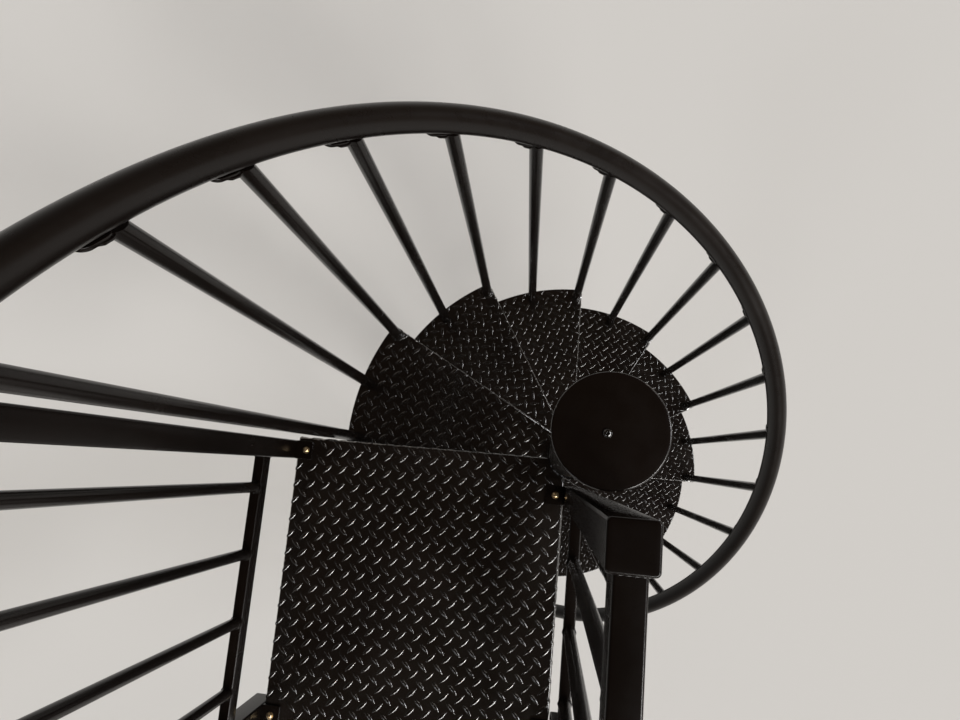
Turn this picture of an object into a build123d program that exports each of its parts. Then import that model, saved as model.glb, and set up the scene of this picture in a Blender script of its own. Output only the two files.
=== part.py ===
"""Spiral staircase: steel pan treads on a centre pole, a helical handrail and a corner landing.

Frame: the origin is on the pole's axis at the underside of the base plate, +Z is up.
The stair climbs anticlockwise seen from above. A bearing is an angle from +X in degrees.
Treads are numbered from the floor up.
"""
from build123d import *
from math import atan, cos, degrees, pi, radians, sin
import os

# Stair layout
TREAD_COUNT = 11
RISE = 219.0
TURN = 30.0
LANDING_BEARING = 180.3
SEAT_CLEARANCE = 0.3

# Base plate and centre pole
POLE_DIAMETER = 76.0
POLE_WALL = 4.0
BASE_DIAMETER = 280.0
BASE_THICKNESS = 10.0
BASE_SPIGOT_LENGTH = 45.0
BASE_BOLT_COUNT = 4
BASE_BOLT_CIRCLE = 220.0
BASE_BOLT_HOLE = 14.0
POLE_ABOVE_LANDING = 794.0
CAP_DIAMETER = 98.0
CAP_THICKNESS = 5.0
CAP_ROUNDING = 1.5
CAP_PLUG_LENGTH = 25.0

# Hubs that stack on the pole
HUB_DIAMETER = 89.0
HUB_BORE_CLEARANCE = 0.5
HUB_ABOVE_TREAD = 8.0

# Treads
TREAD_RADIUS = 533.0
NOSING = 29.5
TUCK = 25.0
PLATE = 5.0
TREAD_PAN_DEPTH = 36.0
TREAD_LIP = 4.0
FOLD_RADIUS = 3.0

# Balusters
BALUSTER_DIAMETER = 24.0
BALUSTER_CIRCLE = 510.0
BALUSTER_HOLE_CLEARANCE = 0.6
BALUSTER_LEAN = 2.7
LANDING_BALUSTER_LEAN = -1.0
MID_BALUSTER_OFFSET = 13.98
NOSING_BALUSTER_OFFSET = -1.15
COLLAR_DIAMETER = 31.0
COLLAR_HEIGHT = 8.0
FOOT_FLANGE_DIAMETER = 60.0
FOOT_FLANGE_THICKNESS = 6.0
TAB_WIDTH = 24.0
TAB_LENGTH = 60.0
TAB_THICKNESS = 5.0
TAB_UPHILL_SHIFT = 18.0

# Handrail
RAIL_DIAMETER = 42.0
RAIL_WALL = 2.5
RAIL_CIRCLE = 498.0
RAIL_ABOVE_NOSING = 949.0
RAIL_TOP_OVERRUN = 6.0
RAIL_FOOT_OVERRUN = 6.0
RAIL_CAP_THICKNESS = 4.0

# Landing
LANDING_LEFT = -568.0
LANDING_RIGHT = -11.0
LANDING_FRONT = -10.0
LANDING_BACK = -575.0
LANDING_PAN_DEPTH = 50.0
LANDING_LIP = 5.0
STIFFENER_COUNT = 2
STIFFENER_THICKNESS = 5.0
STIFFENER_DEPTH = 38.0
FIXING_HOLE_SPACING = 400.0
FIXING_HOLE = 12.0

# Landing guard
GUARD_HEIGHT = 885.0
POST_SIZE = 38.0
POST_WALL = 2.0
POST_CORNER = 4.0
POST_GAP = 3.0
POST_CAP_THICKNESS = 3.0
LEFT_POST_SETBACK = 26.0
RIGHT_POST_SETBACK = 72.0
LEFT_BACK_POST_SETBACK = 19.0
RIGHT_BACK_POST_SETBACK = 55.0
POST_TAB_LENGTH = 36.0
POST_TAB_THICKNESS = 5.0
TOP_RAIL_WIDTH = 25.0
TOP_RAIL_HEIGHT = 38.0
TOP_RAIL_DROP = 9.0
BOTTOM_RAIL_WIDTH = 20.0
BOTTOM_RAIL_HEIGHT = 30.0
BOTTOM_RAIL_TOP = 134.0
RAIL_CORNER = 2.5
PICKET_DIAMETER = 20.0
LEFT_PICKET_COUNT = 4
LEFT_PICKET_SPACING = 122.0
RIGHT_PICKET_COUNT = 3
RIGHT_PICKET_SPACING = 117.0
RIGHT_PICKET_SHIFT = -8.0

# Worked out from the sizes above
LANDING_TOP = RISE * (TREAD_COUNT + 1)
POLE_TOP = LANDING_TOP + POLE_ABOVE_LANDING
CLIMB_PER_DEGREE = RISE / TURN
RAIL_SLOPE = degrees(atan(CLIMB_PER_DEGREE * 360 / (2 * pi * RAIL_CIRCLE)))
LEFT_POST_X = LANDING_LEFT - POST_GAP - POST_SIZE / 2
RIGHT_POST_X = LANDING_RIGHT + POST_GAP + POST_SIZE / 2
LEFT_FRONT_POST_Y = LANDING_FRONT - LEFT_POST_SETBACK
RIGHT_FRONT_POST_Y = LANDING_FRONT - RIGHT_POST_SETBACK
LEFT_BACK_POST_Y = LANDING_BACK + LEFT_BACK_POST_SETBACK
RIGHT_BACK_POST_Y = LANDING_BACK + RIGHT_BACK_POST_SETBACK
LEFT_PICKET_MIDDLE = (LEFT_FRONT_POST_Y + LEFT_BACK_POST_Y) / 2
RIGHT_PICKET_MIDDLE = (RIGHT_FRONT_POST_Y + RIGHT_BACK_POST_Y) / 2 + RIGHT_PICKET_SHIFT
UPWARD = (Align.CENTER, Align.CENTER, Align.MIN)
DOWNWARD = (Align.CENTER, Align.CENTER, Align.MAX)


def rod(radius, bottom, top):
    """Upright round bar on the pole's axis between two heights."""
    return Pos(0, 0, bottom) * Cylinder(radius, top - bottom, align=UPWARD)


def polar(radius, bearing, height):
    """Point at a radius and bearing about the pole."""
    return Vector(radius * cos(radians(bearing)), radius * sin(radians(bearing)), height)


def tread_bearing(number):
    """Bearing of the radial that tread `number` starts from; the landing counts as the last."""
    return LANDING_BEARING - TURN * (TREAD_COUNT + 1 - number)


def rail_height(bearing):
    """Height of the handrail's centreline above the floor."""
    start = LANDING_BEARING + NOSING_BALUSTER_OFFSET
    return LANDING_TOP + RAIL_ABOVE_NOSING + (bearing - start) * CLIMB_PER_DEGREE


# Base plate, pole, cap and sleeves
def base_plate():
    """Round floor flange with its bolt holes and a spigot that fits inside the pole."""
    plate = rod(BASE_DIAMETER / 2, 0, BASE_THICKNESS)
    plate -= PolarLocations(BASE_BOLT_CIRCLE / 2, BASE_BOLT_COUNT, start_angle=45) * rod(
        BASE_BOLT_HOLE / 2, 0, BASE_THICKNESS
    )
    spigot_radius = POLE_DIAMETER / 2 - POLE_WALL - SEAT_CLEARANCE
    return plate + rod(spigot_radius, BASE_THICKNESS, BASE_THICKNESS + BASE_SPIGOT_LENGTH)


def centre_pole():
    """Tube from the base plate up to the cap."""
    tube = rod(POLE_DIAMETER / 2, BASE_THICKNESS, POLE_TOP)
    return tube - rod(POLE_DIAMETER / 2 - POLE_WALL, BASE_THICKNESS, POLE_TOP)


def pole_cap():
    """Flat clamping disc with a softened rim, and a plug that fits inside the pole."""
    disc = rod(CAP_DIAMETER / 2, POLE_TOP, POLE_TOP + CAP_THICKNESS)
    disc = fillet(disc.edges().group_by(Axis.Z)[-1], CAP_ROUNDING)
    plug_radius = POLE_DIAMETER / 2 - POLE_WALL - SEAT_CLEARANCE
    return disc + rod(plug_radius, POLE_TOP - CAP_PLUG_LENGTH, POLE_TOP)


def pole_bore(bottom, top):
    """Space that a sleeve leaves round the pole."""
    return rod(POLE_DIAMETER / 2 + HUB_BORE_CLEARANCE, bottom, top)


def top_sleeve():
    """Sleeve over the pole between the landing's hub and the cap."""
    bottom = LANDING_TOP + HUB_ABOVE_TREAD
    return rod(HUB_DIAMETER / 2, bottom, POLE_TOP) - pole_bore(bottom, POLE_TOP)


def with_hub(plate, number):
    """Weld a plate to its hub, which rests on the hub below, and bore it for the pole."""
    top = number * RISE + HUB_ABOVE_TREAD
    bottom = top - RISE
    if number == 1:
        bottom = BASE_THICKNESS
    return plate + rod(HUB_DIAMETER / 2, bottom, top) - pole_bore(bottom, top)


# Balusters
def leaning_rod(foot, top, radius):
    """Round bar about the line from a foot to a top point, running on past both ends."""
    along = top - foot
    bar = Cylinder(radius, along.length + 2 * BALUSTER_DIAMETER, align=UPWARD)
    return Plane(origin=foot, z_dir=along) * Pos(0, 0, -BALUSTER_DIAMETER) * bar


def baluster_ends(bearing, seat_height, lean=BALUSTER_LEAN):
    """Foot and top of the baluster at a bearing, leaning downhill by some degrees about the pole."""
    top_bearing = bearing - lean
    return polar(BALUSTER_CIRCLE, bearing, seat_height), polar(RAIL_CIRCLE, top_bearing, rail_height(top_bearing))


def tab_plane(bearing):
    """Plane just under the handrail: X runs uphill along it and Z points at its centreline."""
    slope = radians(RAIL_SLOPE)
    level = Vector(-sin(radians(bearing)), cos(radians(bearing)), 0)
    uphill = level * cos(slope) + Vector(0, 0, sin(slope))
    normal = level * -sin(slope) + Vector(0, 0, cos(slope))
    centre = polar(RAIL_CIRCLE, bearing, rail_height(bearing))
    return Plane(origin=centre - normal * (RAIL_DIAMETER / 2 + SEAT_CLEARANCE), x_dir=uphill, z_dir=normal)


def baluster(bearing, seat_height, lean=BALUSTER_LEAN):
    """Round baluster with a round-ended fixing tab along the underside of the handrail."""
    foot, top = baluster_ends(bearing, seat_height, lean)
    plane = tab_plane(bearing - lean)
    reach = RAIL_DIAMETER + 2 * BALUSTER_DIAMETER
    bar = leaning_rod(foot, top, BALUSTER_DIAMETER / 2)
    bar -= plane * Box(reach, reach, reach, align=UPWARD)
    bar -= Pos(foot) * Box(reach, reach, reach, align=DOWNWARD)
    tab = Pos(TAB_UPHILL_SHIFT, 0, 0) * SlotOverall(TAB_LENGTH, TAB_WIDTH)
    return bar + plane * extrude(tab, amount=-TAB_THICKNESS)


def nosing_baluster_ends(number):
    """Ends of the baluster that passes the front corner of tread `number`."""
    seat_height = (number - 1) * RISE
    if number == 1:
        seat_height = FOOT_FLANGE_THICKNESS
    return baluster_ends(tread_bearing(number) + NOSING_BALUSTER_OFFSET, seat_height)


def tread_balusters(number):
    """Middle baluster of a tread, and the one on its rear corner that passes the tread above."""
    seat_height = number * RISE
    middle = baluster(tread_bearing(number) + MID_BALUSTER_OFFSET, seat_height)
    lean = LANDING_BALUSTER_LEAN if number == TREAD_COUNT else BALUSTER_LEAN
    rear = baluster(tread_bearing(number + 1) + NOSING_BALUSTER_OFFSET, seat_height, lean)
    return Compound([middle, rear])


def starting_baluster():
    """First baluster, which stands on the floor on a round flange."""
    bearing = tread_bearing(1) + NOSING_BALUSTER_OFFSET
    flange = Pos(polar(BALUSTER_CIRCLE, bearing, 0)) * rod(FOOT_FLANGE_DIAMETER / 2, 0, FOOT_FLANGE_THICKNESS)
    return baluster(bearing, FOOT_FLANGE_THICKNESS) + flange


def baluster_collars():
    """Rings round the nosing balusters where they pass through the treads."""
    collars = []
    for number in range(1, TREAD_COUNT + 1):
        foot, top = nosing_baluster_ends(number)
        share = (number * RISE - foot.Z) / (top.Z - foot.Z)
        centre = foot + (top - foot) * share
        ring = Pos(centre) * rod(COLLAR_DIAMETER / 2, 0, COLLAR_HEIGHT)
        collars.append(ring - leaning_rod(foot, top, BALUSTER_DIAMETER / 2 + SEAT_CLEARANCE))
    return Compound(collars)


# Treads
def pan(outline, depth, lip):
    """Plate with a turned-down lip all round, folded over a small radius, its top face at height 0."""
    block = extrude(outline, amount=-depth)
    block = fillet(block.edges().group_by(Axis.Z)[-1], FOLD_RADIUS)
    inside = offset(outline, amount=-lip, kind=Kind.INTERSECTION)
    return block - Pos(0, 0, -PLATE) * extrude(inside, amount=PLATE - depth)


def tread_outline():
    """Plan of one tread with its own radial along +X, cut square to the radials at both edges."""
    far = 2 * TREAD_RADIUS
    along = Vector(cos(radians(TURN)), sin(radians(TURN)))
    across = Vector(-sin(radians(TURN)), cos(radians(TURN)))
    rear_near = across * TUCK
    rear_far = across * TUCK + along * far
    corners = [(0, -NOSING), (far, -NOSING), (rear_far.X, rear_far.Y), (rear_near.X, rear_near.Y)]
    return make_face(Polyline(*corners, close=True)) & Circle(TREAD_RADIUS)


def tread(number):
    """Pan tread welded to its hub, with a hole where the nosing baluster passes."""
    plate = Pos(0, 0, number * RISE) * Rot(0, 0, tread_bearing(number)) * pan(
        tread_outline(), TREAD_PAN_DEPTH, TREAD_LIP
    )
    foot, top = nosing_baluster_ends(number)
    hole = leaning_rod(foot, top, BALUSTER_DIAMETER / 2 + BALUSTER_HOLE_CLEARANCE)
    return with_hub(plate, number) - hole


# Handrail
def handrail():
    """Tube on a helix, from past the first baluster to past the last one at the landing."""
    low = tread_bearing(1) + NOSING_BALUSTER_OFFSET - RAIL_FOOT_OVERRUN
    high = LANDING_BEARING + NOSING_BALUSTER_OFFSET + RAIL_TOP_OVERRUN
    climb = rail_height(high) - rail_height(low)
    path = Helix(pitch=360 * CLIMB_PER_DEGREE, height=climb, radius=RAIL_CIRCLE)
    section = Plane(origin=path @ 0, z_dir=path % 0) * (
        Circle(RAIL_DIAMETER / 2) - Circle(RAIL_DIAMETER / 2 - RAIL_WALL)
    )
    tube = sweep(section, path=path, is_frenet=True)
    return Pos(0, 0, rail_height(low)) * Rot(0, 0, low) * tube


def handrail_ends():
    """Round closing discs on both ends of the handrail."""
    low = tread_bearing(1) + NOSING_BALUSTER_OFFSET - RAIL_FOOT_OVERRUN
    high = LANDING_BEARING + NOSING_BALUSTER_OFFSET + RAIL_TOP_OVERRUN
    slope = radians(RAIL_SLOPE)
    discs = []
    for bearing, outward in ((low, -1), (high, 1)):
        level = Vector(-sin(radians(bearing)), cos(radians(bearing)), 0)
        uphill = level * cos(slope) + Vector(0, 0, sin(slope))
        end = Plane(origin=polar(RAIL_CIRCLE, bearing, rail_height(bearing)), z_dir=uphill * outward)
        disc = Cylinder(RAIL_DIAMETER / 2, RAIL_CAP_THICKNESS, align=UPWARD)
        disc = fillet(disc.edges().group_by(Axis.Z)[-1], RAIL_CAP_THICKNESS / 2)
        discs.append(end * disc)
    return Compound(discs)


# Landing
def landing():
    """Rectangular pan welded to the top hub at its corner, with fixing holes along the back."""
    width = LANDING_RIGHT - LANDING_LEFT
    length = LANDING_FRONT - LANDING_BACK
    middle_x = (LANDING_LEFT + LANDING_RIGHT) / 2
    middle_y = (LANDING_FRONT + LANDING_BACK) / 2
    plate = Pos(middle_x, middle_y, LANDING_TOP) * pan(Rectangle(width, length), LANDING_PAN_DEPTH, LANDING_LIP)
    hole = Rot(90, 0, 0) * Cylinder(FIXING_HOLE / 2, 4 * LANDING_LIP)
    for side in (-1, 1):
        x = middle_x + side * FIXING_HOLE_SPACING / 2
        plate -= Pos(x, LANDING_BACK, LANDING_TOP - LANDING_PAN_DEPTH / 2) * hole
    return with_hub(plate, TREAD_COUNT + 1)


def landing_stiffeners():
    """Flat bars under the landing from lip to lip."""
    width = LANDING_RIGHT - LANDING_LEFT - 2 * LANDING_LIP
    spacing = (LANDING_FRONT - LANDING_BACK) / (STIFFENER_COUNT + 1)
    middle_x = (LANDING_LEFT + LANDING_RIGHT) / 2
    bar = Box(width, STIFFENER_THICKNESS, STIFFENER_DEPTH, align=DOWNWARD)
    places = [Pos(middle_x, LANDING_FRONT - spacing * (i + 1), LANDING_TOP - PLATE) for i in range(STIFFENER_COUNT)]
    return Compound([place * bar for place in places])


# Landing guard
def post(x, y, inward):
    """Square tube against the landing's edge, with a foot tab that lies on the plate."""
    top = LANDING_TOP + GUARD_HEIGHT - POST_CAP_THICKNESS
    bottom = LANDING_TOP - LANDING_PAN_DEPTH
    bore = POST_SIZE - 2 * POST_WALL
    section = RectangleRounded(POST_SIZE, POST_SIZE, POST_CORNER)
    section -= RectangleRounded(bore, bore, POST_CORNER - POST_WALL)
    tube = Pos(x, y, bottom) * extrude(section, amount=top - bottom)
    tab = Box(POST_TAB_LENGTH, POST_SIZE, POST_TAB_THICKNESS, align=UPWARD)
    return tube + Pos(x + inward * (POST_SIZE + POST_TAB_LENGTH) / 2, y, LANDING_TOP) * tab


def post_caps():
    """Flat closing plates on the four posts."""
    plate = extrude(RectangleRounded(POST_SIZE, POST_SIZE, POST_CORNER), amount=-POST_CAP_THICKNESS)
    plate = chamfer(plate.edges().group_by(Axis.Z)[-1], POST_CAP_THICKNESS / 3)
    corners = [(LEFT_POST_X, LEFT_FRONT_POST_Y), (LEFT_POST_X, LEFT_BACK_POST_Y)]
    corners += [(RIGHT_POST_X, RIGHT_FRONT_POST_Y), (RIGHT_POST_X, RIGHT_BACK_POST_Y)]
    return Compound([Pos(x, y, LANDING_TOP + GUARD_HEIGHT) * plate for x, y in corners])


def guard_rail(width, height, length):
    """Rectangular rail along Y with rounded corners, hanging from height 0."""
    bar = Box(width, length, height, align=DOWNWARD)
    return fillet(bar.edges().filter_by(Axis.Y), RAIL_CORNER)


def picket_row(middle, count, spacing):
    """Places of evenly spaced pickets about a middle point."""
    return [middle + (index - (count - 1) / 2) * spacing for index in range(count)]


def guard_panel(x, front_post_y, back_post_y, picket_ys):
    """Two rails between a pair of posts, joined by round pickets."""
    front = front_post_y - POST_SIZE / 2
    back = back_post_y + POST_SIZE / 2
    middle = (front + back) / 2
    top = LANDING_TOP + GUARD_HEIGHT - TOP_RAIL_DROP
    low = LANDING_TOP + BOTTOM_RAIL_TOP
    panel = Pos(x, middle, top) * guard_rail(TOP_RAIL_WIDTH, TOP_RAIL_HEIGHT, front - back)
    panel += Pos(x, middle, low) * guard_rail(BOTTOM_RAIL_WIDTH, BOTTOM_RAIL_HEIGHT, front - back)
    for y in picket_ys:
        panel += Pos(x, y, 0) * rod(PICKET_DIAMETER / 2, low, top - TOP_RAIL_HEIGHT)
    return panel


left_pickets = picket_row(LEFT_PICKET_MIDDLE, LEFT_PICKET_COUNT, LEFT_PICKET_SPACING)
right_pickets = picket_row(RIGHT_PICKET_MIDDLE, RIGHT_PICKET_COUNT, RIGHT_PICKET_SPACING)
parts = {
    "base_plate": base_plate(),
    "centre_pole": centre_pole(),
    "pole_cap": pole_cap(),
    "top_sleeve": top_sleeve(),
    "baluster_collars": baluster_collars(),
    "starting_baluster": starting_baluster(),
    "handrail": handrail(),
    "handrail_ends": handrail_ends(),
    "landing": landing(),
    "landing_stiffeners": landing_stiffeners(),
    "left_front_post": post(LEFT_POST_X, LEFT_FRONT_POST_Y, 1),
    "left_back_post": post(LEFT_POST_X, LEFT_BACK_POST_Y, 1),
    "right_front_post": post(RIGHT_POST_X, RIGHT_FRONT_POST_Y, -1),
    "right_back_post": post(RIGHT_POST_X, RIGHT_BACK_POST_Y, -1),
    "post_caps": post_caps(),
    "left_guard_panel": guard_panel(LEFT_POST_X, LEFT_FRONT_POST_Y, LEFT_BACK_POST_Y, left_pickets),
    "right_guard_panel": guard_panel(RIGHT_POST_X, RIGHT_FRONT_POST_Y, RIGHT_BACK_POST_Y, right_pickets),
}
for number in range(1, TREAD_COUNT + 1):
    parts[f"tread_{number:02d}"] = tread(number)
    parts[f"balusters_{number:02d}"] = tread_balusters(number)

os.makedirs("parts", exist_ok=True)
for name, shape in parts.items():
    export_step(shape, f"parts/{name}.step")
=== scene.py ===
"""Looks of a black steel spiral stair, built round its packed construction.

Lengths are metres in the construction's own frame: the origin is on the pole's axis at floor level
and +Z is up. A bearing is an angle from +X in degrees, and the stair climbs anticlockwise.
Every new piece is a surface worked out as whole arrays: a grid of two parameters, or a profile
carried along a path.
"""
import logging
import math
from dataclasses import dataclass
from enum import Enum
from typing import Callable, Iterable, Sequence

import bpy
import numpy as np
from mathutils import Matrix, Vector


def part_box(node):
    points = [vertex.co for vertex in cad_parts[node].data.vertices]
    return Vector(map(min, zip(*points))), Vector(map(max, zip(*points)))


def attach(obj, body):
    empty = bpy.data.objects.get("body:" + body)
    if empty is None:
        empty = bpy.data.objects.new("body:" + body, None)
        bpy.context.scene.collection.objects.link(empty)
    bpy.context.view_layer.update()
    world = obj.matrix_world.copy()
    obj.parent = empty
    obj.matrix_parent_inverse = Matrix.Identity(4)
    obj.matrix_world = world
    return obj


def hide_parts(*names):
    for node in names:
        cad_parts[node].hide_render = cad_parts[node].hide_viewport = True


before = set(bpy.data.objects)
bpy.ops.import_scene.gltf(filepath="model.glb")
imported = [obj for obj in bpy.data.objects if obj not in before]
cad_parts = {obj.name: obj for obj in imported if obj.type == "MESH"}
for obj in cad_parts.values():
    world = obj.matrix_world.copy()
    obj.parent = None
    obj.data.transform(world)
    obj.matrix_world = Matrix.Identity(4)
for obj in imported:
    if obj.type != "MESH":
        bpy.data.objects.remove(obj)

Array = np.ndarray
Colour = tuple[float, float, float]
Outline = Callable[[float], Array]
Profile = Sequence[tuple[float, float, float]]
LOG = logging.getLogger("stair")
BODY = "root"
CREASE = 40.0
MM = 0.001
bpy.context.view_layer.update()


# Placing and shapes

LEAST_CORNER = 0.02
SLOT_STEPS = 16
NEARLY_ALONG = 0.9
BEAD_SIDES = 8
BEAD_RIPPLE = 0.16
STEPS_PER_RIPPLE = 4


def polar(radius: float, bearing: float, height: float = 0.0) -> Array:
    """Return the point at a radius and bearing about the pole."""
    angle = math.radians(bearing)
    return np.array([radius * math.cos(angle), radius * math.sin(angle), height])


def unit(vector: Array) -> Array:
    """Return the vector at length 1."""
    return np.asarray(vector, float) / np.linalg.norm(vector)


def upright_axes(bearing: float) -> Array:
    """Return axes turned about Z: the first row along the bearing, the last row up."""
    c, s = math.cos(math.radians(bearing)), math.sin(math.radians(bearing))
    return np.array([[c, s, 0], [-s, c, 0], [0, 0, 1]])


def turns(count: int) -> Array:
    """Return angles evenly spaced round one full turn."""
    return np.linspace(0, 2 * math.pi, count, endpoint=False)


def on_circle(angles: Array) -> Array:
    """Return the plan points of the unit circle at some angles."""
    return np.stack([np.cos(angles), np.sin(angles)], -1)


def raised(plan: Array, heights: Array) -> Array:
    """Return rows of plan points, each row at its height."""
    return np.concatenate([plan, np.broadcast_to(heights[:, None, None], (*plan.shape[:2], 1))], -1)


def axes_along(direction: Array) -> Array:
    """Return three axes as rows, the last along a direction.

    Args:
        direction: The third axis.

    Returns:
        A 3 by 3 array of unit rows, the first as near to X as it can be, or to Y.
    """
    third = unit(direction)
    side = np.eye(3)[0 if abs(third[0]) < NEARLY_ALONG else 1]
    first = unit(side - third * np.dot(side, third))
    return np.array([first, np.cross(third, first), third])


@dataclass
class Surface:
    """One or more closed skins: points, four-sided faces, flat caps and a worn-edge mask per point."""

    points: Array
    quads: Array
    caps: list[Array]
    wear: Array

    def rubbed(self, share: Array) -> "Surface":
        """Return a copy whose wear is multiplied by a share for each point."""
        return Surface(self.points, self.quads, self.caps, self.wear * share)

    def placed(self, axes: Array, origin: Array) -> "Surface":
        """Return a copy whose own x, y and z run along the rows of `axes` from `origin`."""
        return Surface(self.points @ axes + np.asarray(origin, float), self.quads, self.caps, self.wear)

    def moved(self, *offset: float) -> "Surface":
        """Return a copy moved by x, y and z."""
        return self.placed(np.eye(3), offset)

    def outward(self) -> "Surface":
        """Return the skin with its faces turned outwards.

        The volume is a sixth of the sum, over the faces' triangles, of the corners' triple product.

        Returns:
            This surface where its volume is positive, or else a copy turned inside out.
        """
        p = self.points - self.points.mean(0)
        q = self.quads
        triangles = [q[:, [0, 1, 2]], q[:, [0, 2, 3]]]
        triangles += [np.column_stack([np.full(len(c) - 2, c[0]), c[1:-1], c[2:]]) for c in self.caps]
        t = np.concatenate(triangles)
        volume = np.einsum("ij,ij->i", p[t[:, 0]], np.cross(p[t[:, 1]], p[t[:, 2]])).sum()
        if volume >= 0:
            return self
        return Surface(self.points, q[:, ::-1], [c[::-1] for c in self.caps], self.wear)


def joined(surfaces: Iterable[Surface]) -> Surface:
    """Join several surfaces.

    Args:
        surfaces: The surfaces, whose skins stay separate.

    Returns:
        One surface with all their points and faces.
    """
    points, quads, caps, wear, start = [], [], [], [], 0
    for s in surfaces:
        points.append(s.points)
        quads.append(s.quads + start)
        caps += [c + start for c in s.caps]
        wear.append(s.wear)
        start += len(s.points)
    return Surface(np.concatenate(points), np.concatenate(quads), caps, np.concatenate(wear))


def skin(rows: Array, wear: Array | float = 0.0, closed: bool = False) -> Surface:
    """Close a grid of points into a skin.

    Point (i, j) is joined to (i + 1, j) and (i, j + 1), and the second parameter runs round. The
    first parameter also runs round where `closed`; otherwise its two end rows are flat caps.

    Args:
        rows: Points, of shape (rows, around, 3).
        wear: Worn-edge mask for each row, or one for them all.
        closed: Whether the last row joins the first.

    Returns:
        The skin with its faces outwards.
    """
    count, sides = rows.shape[:2]
    last = count if closed else count - 1
    i, j = np.meshgrid(np.arange(last), np.arange(sides), indexing="ij")
    row, up, right = i * sides, (i + 1) % count * sides, (j + 1) % sides
    quads = np.stack([row + j, row + right, up + right, up + j], -1).reshape(-1, 4)
    caps = [] if closed else [np.arange(sides)[::-1], np.arange(sides) + (count - 1) * sides]
    mask = np.broadcast_to(np.reshape(wear, (-1, 1)), (count, sides)).astype(float)
    return Surface(rows.reshape(-1, 3), quads, caps, mask.ravel()).outward()


def lathe(profile: Profile, sides: int = 48, closed: bool = False) -> Surface:
    """Return a profile's rows of radius, height and wear turned about Z, with its ends joined or flat."""
    r, z, wear = np.array(profile, float).T
    return skin(raised(r[:, None, None] * on_circle(turns(sides)), z), wear, closed)


def rectangle(width: float, depth: float, radius: float, steps: int) -> Outline:
    """Return a centred rectangle with round corners.

    An outline is a function of its inset. Here each corner's centre lies r inside two sides, and the
    corner's points are centre + r (cos a, sin a), where r shrinks with the inset.

    Args:
        width: Size along x.
        depth: Size along y.
        radius: Corner radius with no inset.
        steps: Arc steps per corner.

    Returns:
        The outline, anticlockwise, with 4 x (steps + 1) points.
    """
    arc = on_circle(np.radians(np.add.outer([180, 270, 0, 90], np.linspace(0, 90, steps + 1))).ravel())
    side = np.repeat([(-1, -1), (1, -1), (1, 1), (-1, 1)], steps + 1, axis=0)
    half = np.array([width, depth]) / 2

    def at(inset: float) -> Array:
        """Return the outline's points at an inset."""
        r = max(radius - inset, LEAST_CORNER * radius)
        return side * (half - inset - r) + r * arc

    return at


def slot(length: float, width: float) -> Outline:
    """Return a centred slot along x.

    Args:
        length: Length over the round ends.
        width: Width. The ends are half circles of radius width / 2 less the inset.

    Returns:
        The outline, anticlockwise.
    """
    arc = on_circle(np.radians(np.add.outer([-90, 90], np.linspace(0, 180, SLOT_STEPS + 1))).ravel())
    shift = np.repeat([(1.0, 0.0), (-1.0, 0.0)], SLOT_STEPS + 1, axis=0) * (length - width) / 2
    return lambda inset: shift + arc * (width / 2 - inset)


def polygon(radius: float, sides: int) -> Outline:
    """Return a regular outline with its corners at a radius; with many sides it is a circle."""
    corners = on_circle(turns(sides))
    return lambda inset: corners * (radius - inset / math.cos(math.pi / sides))


def moulded(outline: Outline, profile: Profile) -> Surface:
    """Return a profile's rows of inset, height and wear, carried round an outline and closed flat."""
    inset, z, wear = np.array(profile, float).T
    return skin(raised(np.stack([outline(i) for i in inset]), z), wear)


def quarter(radius: float, steps: int) -> list[tuple[float, float]]:
    """Return the rise from a side to a top round an edge: inset r(1 - sin a), drop r(1 - cos a)."""
    a = np.linspace(math.pi / 2, 0, steps + 1)
    return [(radius * (1 - math.sin(t)), radius * (1 - math.cos(t))) for t in a]


def from_edge(rows: Profile, radius: float, height: float) -> list[tuple[float, float, float]]:
    """Return rows of radius, height and wear, from rows of inset, rise and wear at an outer edge."""
    return [(radius - inset, height + rise, wear) for inset, rise, wear in rows]


def slab_profile(thickness: float, edge: float) -> Profile:
    """Return a flat plate's profile, from its underside to its top at height 0.

    Args:
        thickness: The plate's thickness.
        edge: Radius of both its edges.

    Returns:
        Rows of inset, height and wear.
    """
    up = quarter(edge, 3)
    low = [(i, -thickness + d, 0.0) for i, d in up[::-1]]
    high = [(i, -d, 0.0) for i, d in up]
    return low + high + [(2 * edge, 0.0, 0.0)]


def bar(outline: Outline, length: float, edge: float = 0.5 * MM) -> Surface:
    """Return an outline run along z from 0 to a length, with its end edges eased."""
    profile = [(edge, 0, 0), (0, edge, 0), (0, edge * 3, 0), (0, length - edge * 3, 0)]
    return moulded(outline, profile + [(0, length - edge, 0), (edge, length, 0)])


def bead(path: Array, radius: float, ripples: int) -> Surface:
    """Carry a rippled round section along a closed path, as a weld bead.

    The section at path share s has radius r(1 + d cos(2 pi ripples s)) for a ripple depth d, in the
    plane square to the path.

    Args:
        path: Points, of shape (n, 3).
        radius: The bead's radius.
        ripples: How many ripples it has.

    Returns:
        The bead's skin.
    """
    tangent = np.roll(path, -1, 0) - np.roll(path, 1, 0)
    tangent /= np.linalg.norm(tangent, axis=1, keepdims=True)
    side = path - path.mean(0)
    side -= tangent * (side * tangent).sum(1, keepdims=True)
    side /= np.linalg.norm(side, axis=1, keepdims=True)
    other = np.cross(tangent, side)
    share = np.arange(len(path)) / len(path)
    size = radius * (1 + BEAD_RIPPLE * np.cos(2 * math.pi * ripples * share))
    a = turns(BEAD_SIDES)[:, None]
    section = np.cos(a) * side[:, None] + np.sin(a) * other[:, None]
    return skin(path[:, None] + size[:, None, None] * section, closed=True)


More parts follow.
